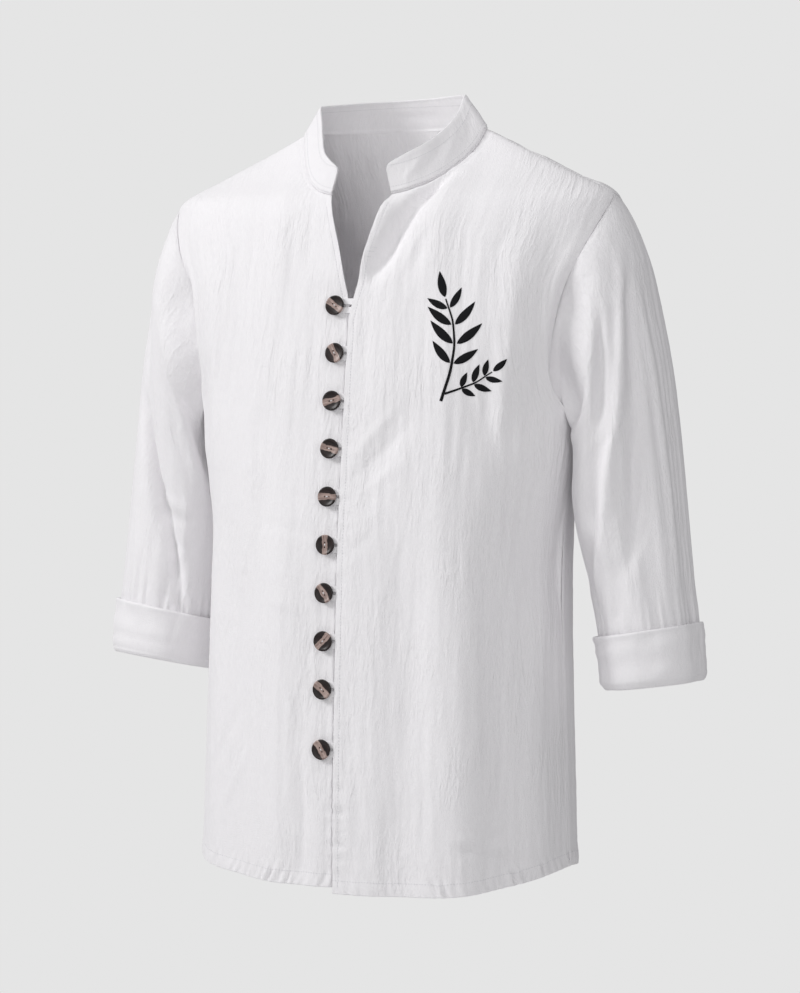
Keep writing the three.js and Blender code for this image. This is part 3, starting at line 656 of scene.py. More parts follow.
def front_sheet(name, side):
    shares = row_shares()
    first = UNDER_STEPS if name == "front_right" else EDGE_STEPS
    angle, z, run = even_rows(front_place, name, shares, FRONT_COLUMNS, first)
    base, normal = torso_point(angle, z), torso_normal(angle, z)
    rows, x, shift = shares[:, None], base[..., 0], RELIEF_SHIFT[name]
    u = run + x[:, :1]
    to_edge, to_side = run, run[:, -1:] - run
    over_armpit = smooth((rows - ARMPIT_SHARE) / 0.03)
    armhole_calm = mix(1, smooth(to_side / 16), over_armpit)
    centre_calm = smooth((np.abs(x) - 4) / 26)
    lift = fold_lift(FOLDS[name], x, z) * centre_calm * armhole_calm
    lift += fold_lift(CREASES[name], x, z) * smooth((to_edge - 3) / 10) * smooth(to_side / 8)
    above_hem = z - z[:1]
    seam_calm = smooth(to_side / 12) * smooth((to_edge + 2) / 14) * smooth((1 - rows) / 0.04)
    shoulder_calm = mix(0.35, 1, smooth((-40 - z) / 90))
    lift += gauze(u, z, shift) * seam_calm * shoulder_calm * smooth((above_hem + 4) / 20)
    lift += hem_relief(u, above_hem, shift) + edge_relief(z, to_edge, shift) * smooth((above_hem - 10) / 8)
    below_neck = smooth((NECK_FRONT_SHARE - rows) / 0.004)
    lift += side_ridge(to_side, over_armpit) + seam_dip(to_edge) * (1 - below_neck)
    lift += panel_seams(rows, to_side, over_armpit)
    if name == "front_right":
        lift -= UNDER_SINK * smooth((60 - x) / 36) * smooth((-145 - z) / 20)
        gaping = smooth(0.6 + 0.6 * CALM.at(3.1 * z, 0 * z)) * smooth((-172 - z) / 8)
        lift -= SLIT_DEPTH * gaping * ridge(x, 0.4, 1.3)
    else:
        beside_v = smooth((-68 - z) / 14) * smooth((z + 154) / 26)
        lift += beside_v * V_FLARE * ridge(to_edge, 0, V_FLARE_WIDTH)
    sheet = Sheet(base + normal * lift[..., None], normal, np.stack([u, z], -1))
    return sheet if side > 0 else sheet.mirrored()


def back_sheet():
    shares = row_shares()
    angle, z, run = even_rows(back_place, "back", shares, BACK_COLUMNS)
    base, normal = torso_point(angle, z), torso_normal(angle, z)
    rows, shift, to_side = shares[:, None], RELIEF_SHIFT["back"], run[:, -1:] - run
    over_armpit = smooth((rows - ARMPIT_SHARE) / 0.03)
    above_hem = z - z[:1]
    halves = []
    for side in (1, -1):
        x, u = side * base[..., 0], side * run
        lift = fold_lift(FOLDS["back"], x, z) * mix(1, smooth(to_side / 16), over_armpit)
        lift += fold_lift(CREASES["back"], x, z) * smooth(to_side / 8)
        top_calm = smooth((1 - rows) / 0.04)
        lift += gauze(u, z, shift) * smooth(to_side / 12) * top_calm * smooth((above_hem + 4) / 20)
        lift += hem_relief(u, above_hem, shift) + panel_seams(rows, to_side, over_armpit)
        flip = np.array([side, 1, 1])
        halves.append(((base + normal * lift[..., None]) * flip, normal * flip, np.stack([u, z], -1)))
    joined = [np.concatenate([right[:, :0:-1], left], axis=1) for left, right in zip(*halves)]
    return Sheet(*joined)


def seam_start(turn):
    """Torso angle and height where the armhole seam meets a turn of the sleeve."""
    reach, z = armhole(np.pi - np.abs(turn))
    return np.where(turn < 0, -1, 1) * reach, z


def sleeve_base(turn, k, name):
    """A point on the left sleeve. turn is 0 on the outer side, pi/2 in front and pi at the underarm."""
    turn, k = np.broadcast_arrays(np.asarray(turn, float), np.asarray(k, float))
    square = np.where(np.cos(turn) < 0, UNDERARM_POWER, 1)
    c = (1 + signed_power(np.cos(turn), square)) / 2
    s = signed_power(np.sin(turn), square)
    half_y = read(SLEEVE, "half_y", k)
    rise = FRONT_RISE[name] * half_y * s * smooth((k - 7) / 4)
    across = mix(read(SLEEVE, "inner_x", k), read(SLEEVE, "outer_x", k), c)
    height = mix(read(SLEEVE, "inner_z", k), read(SLEEVE, "outer_z", k), c) + rise
    ring = np.stack([across, read(SLEEVE, "mid_y", k) - half_y * s, height], -1)
    start = torso_point(*seam_start(turn))
    return mix(start, ring, smooth(k / CAP_STATIONS + 0.04 * k)[..., None])


def bare_sleeve_normal(turn, k, name):
    step, slide = 0.02, 0.05
    k1 = np.maximum(0, k - slide)
    around = sleeve_base(turn + step, k, name) - sleeve_base(turn - step, k, name)
    down = sleeve_base(turn, k1 + 2 * slide, name) - sleeve_base(turn, k1, name)
    return unit(np.cross(around, down))


def seam_normal(turn):
    """The direction midway between body and sleeve at the armhole seam."""
    return unit(torso_normal(*seam_start(turn)) + bare_sleeve_normal(turn, 0.5, "sleeve_left"))


def sleeve_surface(turn, k, name):
    """Outer points and normals of a sleeve, with its folds, its creases and the drawn-in armhole."""
    degrees = np.degrees(turn)
    blend = smooth(k / 0.7)[..., None]
    normal = unit(mix(seam_normal(turn), bare_sleeve_normal(turn, np.maximum(k, 0.3), name), blend))
    lift = np.zeros(np.broadcast(turn, k).shape)
    for lap in (0, 360, -360):
        for folds in (FOLDS[name], CREASES[name]):
            lift += fold_lift(folds, degrees + lap, k, MM_PER_DEGREE, MM_PER_STATION)
    base, start = sleeve_base(turn, k, name), sleeve_base(turn, 0 * k, name)
    angle, z = seam_start(turn)
    outward = torso_normal(angle, z)
    away = np.maximum(0, np.linalg.norm(base - start, axis=-1) - 14)
    drawn = 1.25 * armhole_groove(z) * ridge(away, 0, 22)
    return base + normal * (lift * smooth(k / 1.5))[..., None] + outward * drawn[..., None], normal


def turns_round(columns):
    """Turns round a sleeve, starting and ending at the underarm seam."""
    return np.linspace(-np.pi, np.pi, columns + 1)


def meet_round(relief, turn):
    """Brings the two ends of a relief that runs round a sleeve together at the underarm."""
    join = smooth(np.abs(turn) / np.pi * 12 - 11)
    return mix(relief, 0.5 * (relief[:, :1] + relief[:, -1:]), join)


def sleeve_sheet(name, side):
    k = LAST_STATION * (np.arange(SLEEVE_RINGS + 1) / SLEEVE_RINGS) ** 1.15
    turn, k = np.meshgrid(turns_round(SLEEVE_COLUMNS), k)
    point, normal = sleeve_surface(turn, k, name)
    u, along, shift = turn / (2 * np.pi) * SLEEVE_ROUND, k * WEAVE_PER_STATION, RELIEF_SHIFT[name]
    lift = meet_round(gauze(u, -along, shift), turn) * smooth(along / 12)
    lift += seam_dip(along) + seam_dip((np.pi - np.abs(turn)) * SLEEVE_RADIUS)
    gathered = smooth((k - 9.6) / 0.9) * (1 - smooth((k - 10.9) / 0.4))
    lift += 0.5 * gathered * CRINKLE.at(u * 1.4 + shift, -along * 0.3)
    point = point + normal * lift[..., None]
    sheet = Sheet(point[:, :-1], normal[:, :-1], np.stack([u, -along], -1), closed_round=True)
    return sheet if side > 0 else sheet.mirrored()


def closed_profile(sizes, count):
    """A smooth closed curve through the rows of a two-column table."""
    knots = np.stack(list(sizes.values()), -1)
    n = len(knots)
    t = np.linspace(0, n, count, endpoint=False)
    i, f = np.floor(t).astype(int), (t - np.floor(t))[:, None]
    p0, p1, p2, p3 = (knots[(i + d) % n] for d in (-1, 0, 1, 2))
    return 0.5 * (
        2 * p1 + (p2 - p0) * f + (2 * p0 - 5 * p1 + 4 * p2 - p3) * f**2 + (3 * p1 - p0 - 3 * p2 + p3) * f**3
    )


CUFF_DEPTH = 53
CUFF_STITCH = 44  # how far down the cuff its hem is sewn
CUFF_SPREAD = 2.2  # how far the cuff's foot stands out from the body
CUFF_CREASES = fold_tables(
    sleeve_left=(
        (0, 4, 1, 28, 2.5, -1.4, 0),
        (22, 14, 20, 38, 3, -0.8, 0),
        (60, 8, 92, 20, 6, -0.7, 0),
        (96, 18, 130, 34, 7, 0.7, 0),
        (40, 30, 74, 44, 6, 0.6, 0),
        (-60, 6, -100, 40, 7, -0.8, 0),
        (-130, 10, -150, 44, 7, 0.7, 0),
    ),
    sleeve_right=(
        (60, 10, 96, 30, 7, -0.7, 0),
        (88, 24, 130, 42, 7, 0.7, 0),
        (128, 4, 122, 44, 4, -0.9, 0),
        (30, 8, 40, 40, 7, 0.6, 0),
        (-50, 6, -90, 40, 7, -0.8, 0),
        (-120, 10, -140, 44, 7, 0.7, 0),
    ),
)


def cuff_points(name, turn, off, down):
    """Points of a cuff: off the sleeve's surface, and down its depth as a share."""
    k = mix(CUFF_TOP_STATION, LAST_STATION, np.minimum(down, 1))
    point, normal = sleeve_surface(turn, k, name)
    depth = sleeve_base(turn, LAST_STATION, name) - sleeve_base(turn, CUFF_TOP_STATION, name)
    past = np.where(down > 1, down - 1, np.minimum(down, 0))
    return point + depth * past[..., None] + normal * off[..., None], normal


def cuff_rings(name, side):
    """The turned-up cuff as rings down its outside, under the sleeve's end and up its inside."""
    profile = closed_profile(CUFF_SECTION, 72)
    turn, off = np.meshgrid(turns_round(SLEEVE_COLUMNS), profile[:, 0])
    down = np.broadcast_to(profile[:, 1:], turn.shape)
    outside = smooth((off - 3.3) / 0.6)
    degrees, depth = np.degrees(turn), down * CUFF_DEPTH
    shift = RELIEF_SHIFT[name.replace("sleeve", "cuff")]
    relief = 0.22 * gauze(degrees * MM_PER_DEGREE, -depth, shift) + 0.4 * DRAPE.at(depth * 3, degrees + shift)
    relief = meet_round(relief, turn) + fold_lift(CUFF_CREASES[name], degrees, depth, MM_PER_DEGREE)
    hem_groove = -0.35 * ridge(depth, CUFF_STITCH, 1.4)
    point, normal = cuff_points(name, turn, off, down)
    point = point + normal * ((relief + hem_groove) * outside)[..., None]
    point[..., 0] += CUFF_SPREAD * np.clip(down, 0, 1)
    weave = np.stack([turn / (2 * np.pi) * SLEEVE_ROUND, -depth], -1)
    if side < 0:
        point, normal = point * [-1, 1, 1], normal * [-1, 1, 1]
    return point, weave


def neck_seam(t, word):
    """The neck seam from the front end (t 0) by the shoulder to the centre back (t 1)."""
    v = mix(NECK_FRONT_SHARE, 1, np.clip(t / SHOULDER_SHARE, 0, 1))
    x, z = neck_edge(v, word)
    front = torso_point(torso_angle(x, z), z)
    s = np.clip((1 - t) / (1 - SHOULDER_SHARE), 0, 1)
    back = torso_point((s - 1) * (np.pi / 2), mix(BACK_NECK_Z, 0, s**3))
    return np.where((t < SHOULDER_SHARE)[..., None], front, back)


COLLAR_HEIGHT = 32
COLLAR_ROUND = 480
COLLAR_CREASES = table(
    FOLD_COLUMNS,
    (20, 6, 52, 26, 4, -0.8, 0),
    (40, 4, 74, 27, 5, 0.8, 0),
    (62, 5, 92, 26, 4, -0.7, 0),
    (84, 4, 118, 22, 5, 0.6, 0),
    (120, 8, 150, 26, 5, -0.6, 0),
    (200, 14, 290, 18, 4, -0.6, 0),
    (230, 20, 300, 23, 4, 0.5, 0),
    (360, 6, 392, 26, 5, 0.7, 0),
    (396, 5, 430, 25, 5, -0.7, 0),
    (430, 6, 458, 24, 4, 0.7, 0),
)


def collar_points(u, share, extra=0.0):
    """Points of the band at u (0 at the left front end, 2 at the right one) and share up it."""
    u, share = np.broadcast_arrays(np.asarray(u, float), np.asarray(share, float))
    t, side = np.where(u <= 1, u, 2 - u), np.where(u > 1, -1, 1)
    near = np.maximum(0, COLLAR_CORNER - t * COLLAR_ROUND / 2)
    short = (COLLAR_CORNER - np.sqrt(COLLAR_CORNER**2 - near**2)) / COLLAR_HEIGHT
    foot = np.where((side > 0)[..., None], neck_seam(t, "left"), neck_seam(t, "right"))
    lean = np.stack([read(COLLAR, c, t) for c in ("lean", "back", "rise")], -1)
    lean[..., 2] += COLLAR_TILT * foot[..., 0] * side
    point = foot + lean * (share * (1 - short * share))[..., None]
    point[..., 0] *= side
    return point


def collar_normal(u, share):
    step = 0.004
    along = collar_points(np.minimum(2, u + step), share) - collar_points(np.maximum(0, u - step), share)
    up = collar_points(u, np.minimum(1, share + 0.1)) - collar_points(u, np.maximum(0, share - 0.1))
    return -unit(np.cross(along, up))


def collar_sheet():
    columns = graded(COLLAR_ROUND, 2.2) / COLLAR_ROUND * 2
    rows = graded(COLLAR_HEIGHT, 2.2) / COLLAR_HEIGHT
    u, share = np.meshgrid(columns, rows)
    normal = collar_normal(u, share)
    way, height = u * COLLAR_ROUND / 2, share * COLLAR_HEIGHT
    lift = 0.6 + fold_lift(COLLAR_CREASES, way, height)
    lift += 0.35 * gauze(way * 0.7, height, RELIEF_SHIFT["collar"])
    lift += 1.3 * ridge(height, 0.8, 0.8) - 0.5 * ridge(height, 2.6, 0.8)
    lift -= 0.3 * ridge(height, COLLAR_HEIGHT - 2.6, 0.9)
    point = collar_points(u, share) + normal * lift[..., None]
    return Sheet(point, normal, np.stack([way, height], -1))


# Meshes

BODY = "root"


def make_mesh(name, points, quads, corner_weave=None):
    """A mesh in metres from points in millimetres, its faces turned outwards."""
    points, quads = np.asarray(points, float), np.asarray(quads)
    corners = points[quads]
    fans = np.cross(corners[:, 1] - corners[:, 0], corners[:, 2] - corners[:, 0])
    fans2 = np.cross(corners[:, 2] - corners[:, 0], corners[:, -1] - corners[:, 0])
    if ((fans + fans2) * corners[:, 0]).sum() < 0:
        quads = quads[:, ::-1]
        corner_weave = None if corner_weave is None else corner_weave[:, ::-1]
    mesh = bpy.data.meshes.new(name)
    mesh.vertices.add(len(points))
    mesh.vertices.foreach_set("co", (points * MM).astype(np.float32).ravel())
    mesh.loops.add(quads.size)
    mesh.loops.foreach_set("vertex_index", quads.astype(np.int32).ravel())
    mesh.polygons.add(len(quads))
    mesh.polygons.foreach_set("loop_start", np.arange(0, quads.size, quads.shape[1], dtype=np.int32))
    mesh.polygons.foreach_set("use_smooth", np.ones(len(quads), bool))
    if corner_weave is not None:
        layer = mesh.uv_layers.new(name="weave")
        layer.data.foreach_set("uv", (corner_weave * MM).astype(np.float32).ravel())
    mesh.update(calc_edges=True)
    mesh.validate()
    return mesh


def place_in_scene(name, data):
    made = bpy.data.objects.new(name, data)
    bpy.context.scene.collection.objects.link(made)
    return made


def evaluated_mesh(holder):
    """The mesh that an object's curve or modifiers make."""
    depsgraph = bpy.context.evaluated_depsgraph_get()
    return bpy.data.meshes.new_from_object(holder.evaluated_get(depsgraph))


def welded(mesh):
    """Joins doubled vertices and turns the faces outwards."""
    bm = bmesh.new()
    bm.from_mesh(mesh)
    bmesh.ops.remove_doubles(bm, verts=bm.verts, dist=1e-6)
    bmesh.ops.recalc_face_normals(bm, faces=bm.faces)
    bm.to_mesh(mesh)
    bm.free()
    return mesh


def add_piece(name, mesh, material, slot, *nodes):
    """A shown piece: it rides on the body, takes the given finish and stands for its nodes. The slot is not
    used.
    """
    piece = place_in_scene(name, mesh)
    if material is not None:
        mesh.materials.clear()
        mesh.materials.append(material)
    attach(piece, BODY)
    if nodes:
        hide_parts(*nodes)
    return piece


def shell_mesh(name, sheet, thickness, rim=0.35):
    """A closed thin shell: the outer grid, the same grid moved in, and a rounded rim between them."""
    rows, columns = sheet.point.shape[:2]
    outer = sheet.point.reshape(-1, 3)
    inner = (sheet.point - sheet.normal * thickness).reshape(-1, 3)
    count = rows * columns
    steps = columns if sheet.closed_round else columns - 1
    r, c = np.meshgrid(np.arange(rows - 1), np.arange(steps), indexing="ij")
    r, c = r.ravel(), c.ravel()
    grid_corners = np.stack([(r, c), (r, c + 1), (r + 1, c + 1), (r + 1, c)])
    index = grid_corners[:, 0] * columns + grid_corners[:, 1] % columns
    weave = np.moveaxis(sheet.weave[grid_corners[:, 0], grid_corners[:, 1]], 0, 1)
    faces, weaves = [index.T, index.T[:, ::-1] + count], [weave, weave[:, ::-1]]
    around = np.arange(columns + 1 if sheet.closed_round else columns)
    bottom = np.stack([0 * around, around])
    top = np.stack([0 * around + rows - 1, around])[:, ::-1]
    if sheet.closed_round:
        loops = [bottom, top]
    else:
        up = np.arange(rows)
        right = np.stack([up, 0 * up + columns - 1])
        left = np.stack([up, 0 * up])[:, ::-1]
        loops = [np.concatenate([bottom[:, :-1], right[:, :-1], top[:, :-1], left], axis=1)]
    middles = []
    for loop in loops:
        vertex = loop[0] * columns + loop[1] % columns
        start = 2 * count + sum(len(m) for m in middles)
        lr, lc = loop[0], loop[1] % columns
        inner_r = np.clip(lr, 1, rows - 2)
        inner_c = lc if sheet.closed_round else np.clip(lc, 1, columns - 2)
        outward = unit(sheet.point[lr, lc] - sheet.point[inner_r, inner_c])
        middle = (outer[vertex] + inner[vertex]) / 2 + outward * rim
        middles.append(middle[:-1])
        n = len(vertex) - 1
        a, b = np.arange(n), (np.arange(n) + 1) % n
        va, vb = vertex[:-1], vertex[1:]
        ring = sheet.weave[loop[0], loop[1]]
        wa, wb = ring[:-1], ring[1:]
        faces.append(np.stack([vb, va, start + a, start + b], -1))
        faces.append(np.stack([start + b, start + a, count + va, count + vb], -1))
        weaves += [np.stack([wb, wa, wa, wb], 1)] * 2
    points = np.concatenate([outer, inner, *middles])
    return make_mesh(name, points, np.concatenate(faces), np.concatenate(weaves))


def ring_mesh(name, point, weave):
    """A closed ring from a section that goes all round: rows are the section, columns go round."""
    rows, columns = point.shape[0], point.shape[1] - 1
    r, c = np.meshgrid(np.arange(rows), np.arange(columns), indexing="ij")
    r, c = r.ravel(), c.ravel()
    corners = np.stack([(r, c), (r, c + 1), (r + 1, c + 1), (r + 1, c)])
    index = corners[:, 0] % rows * columns + corners[:, 1] % columns
    corner_weave = np.moveaxis(weave[corners[:, 0] % rows, corners[:, 1]], 0, 1)
    return make_mesh(name, point[:, :-1].reshape(-1, 3), index.T, corner_weave)


# Node helpers and finishes


def node(tree, kind, **values):
    made = tree.nodes.new(kind)
    for key, value in values.items():
        if key in made.inputs:
            made.inputs[key].default_value = value
        else:
            setattr(made, key, value)
    return made


def group_tree(name, kind, sockets):
    """A node group with named sockets: (name, way, socket type, default)."""
    tree = bpy.data.node_groups.new(name, kind)
    for label, way, socket, default in sockets:
        made = tree.interface.new_socket(label, in_out=way, socket_type=socket)
        if default is not None:
            made.default_value = default
    return tree, tree.nodes.new("NodeGroupInput"), tree.nodes.new("NodeGroupOutput")


def stretched_noise(tree, vector, scale_u, scale_v, detail, offset=0.0):
    """Noise stretched along the warp: scales are per metre of cloth."""
    place = node(tree, "ShaderNodeMapping")
    place.inputs["Scale"].default_value = (scale_u, scale_v, 1)
    place.inputs["Location"].default_value = (offset, offset * 0.37, 0)
    noise = node(tree, "ShaderNodeTexNoise", Scale=1.0, Detail=detail, Roughness=0.55)
    tree.links.new(vector, place.inputs["Vector"])
    tree.links.new(place.outputs["Vector"], noise.inputs["Vector"])
    return noise.outputs["Fac"]


def two_colours(tree, strength, low, high, first=0.0, last=1.0):
    ramp = tree.nodes.new("ShaderNodeValToRGB")
    for stop, place, colour in zip(ramp.color_ramp.elements, (first, last), (low, high)):
        stop.position, stop.color = place, (*colour, 1)
    tree.links.new(strength, ramp.inputs["Fac"])
    return ramp.outputs["Color"]


def speckle(tree, shader, scale, detail, low, high):
    """Colours a shader by a noise in the object's own space, and gives the noise's strength."""
    place = tree.nodes.new("ShaderNodeTexCoord")
    noise = node(tree, "ShaderNodeTexNoise", Scale=scale, Detail=detail)
    tree.links.new(place.outputs["Object"], noise.inputs["Vector"])
    tree.links.new(two_colours(tree, noise.outputs["Fac"], low, high), shader.inputs["Base Color"])
    return noise.outputs["Fac"]


def blend_colours(tree, strength, low, high):
    blend = node(tree, "ShaderNodeMix", data_type="RGBA")
    colours = [socket for socket in blend.inputs if socket.type == "RGBA"]
    tree.links.new(strength, blend.inputs["Factor"])
    tree.links.new(low, colours[0])
    tree.links.new(high, colours[1])
    return next(socket for socket in blend.outputs if socket.type == "RGBA")


def eased(tree, value, *limits):
    """Eases a value from one range to another: from low, from high, to low, to high."""
    made = node(tree, "ShaderNodeMapRange", interpolation_type="SMOOTHSTEP")
    for label, limit in zip(("From Min", "From Max", "To Min", "To Max"), limits):
        made.inputs[label].default_value = limit
    tree.links.new(value, made.inputs["Value"])
    return made.outputs["Result"]


def raised(tree, shader, height, strength, distance):
    bump = node(tree, "ShaderNodeBump", Strength=strength, Distance=distance)
    tree.links.new(height, bump.inputs["Height"])
    tree.links.new(bump.outputs["Normal"], shader.inputs["Normal"])


def combine(tree, operation, a, b):
    made = node(tree, "ShaderNodeMath", operation=operation)
    for socket, value in zip(made.inputs, (a, b)):
        if isinstance(value, (int, float)):
            socket.default_value = value
        else:
            tree.links.new(value, socket)
    return made.outputs[0]


def crest_lines(tree, field, sharp):
    """Narrow ridges where a noise crosses its middle."""
    away = combine(tree, "ABSOLUTE", combine(tree, "SUBTRACT", field, 0.5), 0.0)
    lines = combine(tree, "SUBTRACT", 1.0, combine(tree, "MULTIPLY", away, sharp))
    return combine(tree, "MAXIMUM", lines, 0.0)


def gauze_group():
    """Crepe ridges, creases and threads of the gauze as a height in millimetres, and its colour: a faint
    white with painted shade, darker in the crepe's hollows and lighter on its raised parts.
    """
    tree, start, end = group_tree(
        "gauze_surface",
        "ShaderNodeTree",
        (
            ("Weave", "INPUT", "NodeSocketVector", None),
            ("Crepe", "INPUT", "NodeSocketFloat", 1.0),
            ("Threads", "INPUT", "NodeSocketFloat", 1.0),
            # Light and Dark: the gauze's white with painted light on the crepe's tops and painted shade in
            # its hollows
            ("Light", "INPUT", "NodeSocketColor", (0.92, 0.91, 0.92, 1)),
            ("Dark", "INPUT", "NodeSocketColor", (0.86, 0.85, 0.86, 1)),
            ("Height", "OUTPUT", "NodeSocketFloat", None),
            ("Colour", "OUTPUT", "NodeSocketColor", None),
        ),
    )
    weave = start.outputs["Weave"]
    patch = stretched_noise(tree, weave, 17, 11, 2.0, 5.3)
    crinkled = eased(tree, patch, 0.4, 0.62, 0.22, 1.0)
    long_creases = crest_lines(tree, stretched_noise(tree, weave, 105, 20, 1.5, 1.7), 9.0)
    short_creases = crest_lines(tree, stretched_noise(tree, weave, 215, 60, 1.5, 2.9), 7.0)
    crepe = stretched_noise(tree, weave, 420, 150, 2.0, 3.1)
    grain = stretched_noise(tree, weave, 1000, 800, 1.0, 7.7)
    ridges = combine(tree, "MULTIPLY", long_creases, 0.44)
    for field, share in ((short_creases, 0.3), (crepe, 0.55)):
        ridges = combine(tree, "ADD", ridges, combine(tree, "MULTIPLY", field, share))
    ridges = combine(tree, "MULTIPLY", ridges, crinkled)
    relief = combine(tree, "MULTIPLY", ridges, start.outputs["Crepe"])
    threads = combine(tree, "MULTIPLY", grain, 0.45)
    relief = combine(tree, "ADD", relief, combine(tree, "MULTIPLY", threads, start.outputs["Threads"]))
    tree.links.new(relief, end.inputs["Height"])
    # Painted shade: the colour follows the crepe's height, the dark colour in its hollows and the light one
    # on its raised parts.
    crepe_painted_shade = blend_colours(tree, crepe, start.outputs["Dark"], start.outputs["Light"])
    tree.links.new(crepe_painted_shade, end.inputs["Colour"])
    return tree


GAUZE_SURFACE = gauze_group()


def new_material(name, **finish):
    """A material with its finish: each value sits on the shader's socket of that name."""
    material = bpy.data.materials.new(name)
    material.use_nodes = True
    shader = material.node_tree.nodes["Principled BSDF"]
    for label, value in finish.items():
        shader.inputs[label.replace("_", " ")].default_value = value
    return material, material.node_tree, shader


def cloth_material(name, crepe, threads, bump_mm, coordinates="UV"):
    """A gauze finish: soft matt cotton, its crepe and threads as bump, and its white with painted shade in
    the crepe's hollows.
    """
    material, tree, shader = new_material(
        name, Roughness=0.92, Specular_IOR_Level=0.2, Sheen_Weight=0.12, Sheen_Roughness=0.5
    )
    place = tree.nodes.new("ShaderNodeTexCoord")
    surface = node(tree, "ShaderNodeGroup", node_tree=GAUZE_SURFACE)
    sizes = {"Crepe": crepe, "Threads": threads, "Light": (*GAUZE_WHITE_PAINTED_LIT, 1), "Dark": (*GAUZE_WHITE_PAINTED_SHADE, 1)}
    for label, value in sizes.items():
        surface.inputs[label].default_value = value
    tree.links.new(place.outputs[coordinates], surface.inputs["Weave"])
    tree.links.new(surface.outputs["Colour"], shader.inputs["Base Color"])
    raised(tree, shader, surface.outputs["Height"], 1.0, bump_mm * MM)
    return material


# The gauze's own white, painted lighter on the crepe's raised parts and darker in its hollows: painted light
# and shade.
GAUZE_WHITE_PAINTED_LIT = (0.925, 0.908, 0.925)
GAUZE_WHITE_PAINTED_SHADE = (0.865, 0.85, 0.868)
GAUZE = cloth_material("white_gauze", 0.8, 1.0, 0.85)
DOUBLE_GAUZE = cloth_material("white_gauze_double", 0.35, 0.8, 0.9)
LOOP_CLOTH = cloth_material("loop_band", 0.1, 0.8, 0.6, "Object")


def thread_material():
    material, tree, shader = new_material("sewing_thread", Roughness=0.7)
    speckle(tree, shader, 2600.0, 1.0, (0.62, 0.62, 0.64), (0.78, 0.78, 0.8))
    return material


def ink_material():
    """Black print that lies in the weave: nearly matt, and thinner where the threads stand up."""
    material, tree, shader = new_material("black_print", Roughness=0.9, Specular_IOR_Level=0.2)
    grain = speckle(tree, shader, 1500.0, 2.0, (0.003, 0.003, 0.004), (0.012, 0.012, 0.014))
    raised(tree, shader, grain, 0.3, 0.0002)
    return material


def horn_material():
    """Polished horn: near black, with a paler streaked band across the middle."""
    material, tree, shader = new_material(
        "button_horn", Roughness=0.42, Specular_IOR_Level=0.35, Coat_Weight=0.12, Coat_Roughness=0.2
    )
    place = tree.nodes.new("ShaderNodeTexCoord")
    across = node(tree, "ShaderNodeSeparateXYZ")
    cut = node(tree, "ShaderNodeAttribute", attribute_name="cut", attribute_type="GEOMETRY")
    mapping = node(tree, "ShaderNodeMapping")
    mapping.inputs["Scale"].default_value = (90, 700, 1)
    streak = node(tree, "ShaderNodeTexNoise", Scale=1.0, Detail=3.0, noise_dimensions="4D")
    wander = node(tree, "ShaderNodeTexNoise", Scale=160.0, Detail=1.0, noise_dimensions="4D")
    tree.links.new(place.outputs["UV"], across.inputs["Vector"])
    tree.links.new(place.outputs["UV"], mapping.inputs["Vector"])
    tree.links.new(mapping.outputs["Vector"], streak.inputs["Vector"])
    tree.links.new(place.outputs["UV"], wander.inputs["Vector"])
    for noise in (streak, wander):
        tree.links.new(cut.outputs["Fac"], noise.inputs["W"])
    wandering = combine(tree, "MULTIPLY", wander.outputs["Fac"], 0.0035)
    shifted = combine(tree, "ADD", across.outputs["Y"], wandering)
    distance = combine(tree, "ABSOLUTE", combine(tree, "SUBTRACT", shifted, 0.0017), 0.0)
    band = eased(tree, distance, 0.0034, 0.0026, 0.0, 1.0)
    dark = two_colours(tree, streak.outputs["Fac"], (0.003, 0.002, 0.002), (0.026, 0.014, 0.013), 0.3, 0.72)
    pale = two_colours(tree, streak.outputs["Fac"], (0.19, 0.125, 0.11), (0.52, 0.4, 0.36), 0.3, 0.72)
    tree.links.new(blend_colours(tree, band, dark, pale), shader.inputs["Base Color"])
    return material


THREAD = thread_material()
INK = ink_material()
HORN = horn_material()


# Sewing, made by a geometry node tree along curves


def stitch_tree():
    """Stitches along a curve: each a small spindle that lies along it."""
    tree, start, end = group_tree(
        "sewn_row",
        "GeometryNodeTree",
        (
            ("Geometry", "INPUT", "NodeSocketGeometry", None),
            ("Pitch", "INPUT", "NodeSocketFloat", 0.003),
            ("Length", "INPUT", "NodeSocketFloat", 0.0021),
            ("Width", "INPUT", "NodeSocketFloat", 0.00055),
            ("Thread", "INPUT", "NodeSocketMaterial", None),
            ("Geometry", "OUTPUT", "NodeSocketGeometry", None),
        ),
    )
    spaced = node(tree, "GeometryNodeResampleCurve", mode="LENGTH")
    spindle = node(tree, "GeometryNodeMeshUVSphere", Segments=6, Rings=4, Radius=0.5)
    size = node(tree, "ShaderNodeCombineXYZ")
    shape = node(tree, "GeometryNodeTransform")
    tangent = node(tree, "GeometryNodeInputTangent")
    turn = node(tree, "FunctionNodeAlignRotationToVector", axis="Z")
    placed = node(tree, "GeometryNodeInstanceOnPoints")
    real = node(tree, "GeometryNodeRealizeInstances")
    soft = node(tree, "GeometryNodeSetShadeSmooth")
    finish = node(tree, "GeometryNodeSetMaterial")
    for source, output, target, socket in (
        (start, "Geometry", spaced, "Curve"),
        (start, "Pitch", spaced, "Length"),
        (start, "Width", size, "X"),
        (start, "Width", size, "Y"),
        (start, "Length", size, "Z"),
        (spindle, "Mesh", shape, "Geometry"),
        (size, "Vector", shape, "Scale"),
        (tangent, "Tangent", turn, "Vector"),
        (spaced, "Curve", placed, "Points"),
        (shape, "Geometry", placed, "Instance"),
        (turn, "Rotation", placed, "Rotation"),
        (placed, "Instances", real, "Geometry"),
        (real, "Geometry", soft, "Geometry"),
        (soft, "Geometry", finish, "Geometry"),
        (start, "Thread", finish, "Material"),
        (finish, "Geometry", end, "Geometry"),
    ):
        tree.links.new(source.outputs[output], target.inputs[socket])
    return tree


SEWN_ROW = stitch_tree()


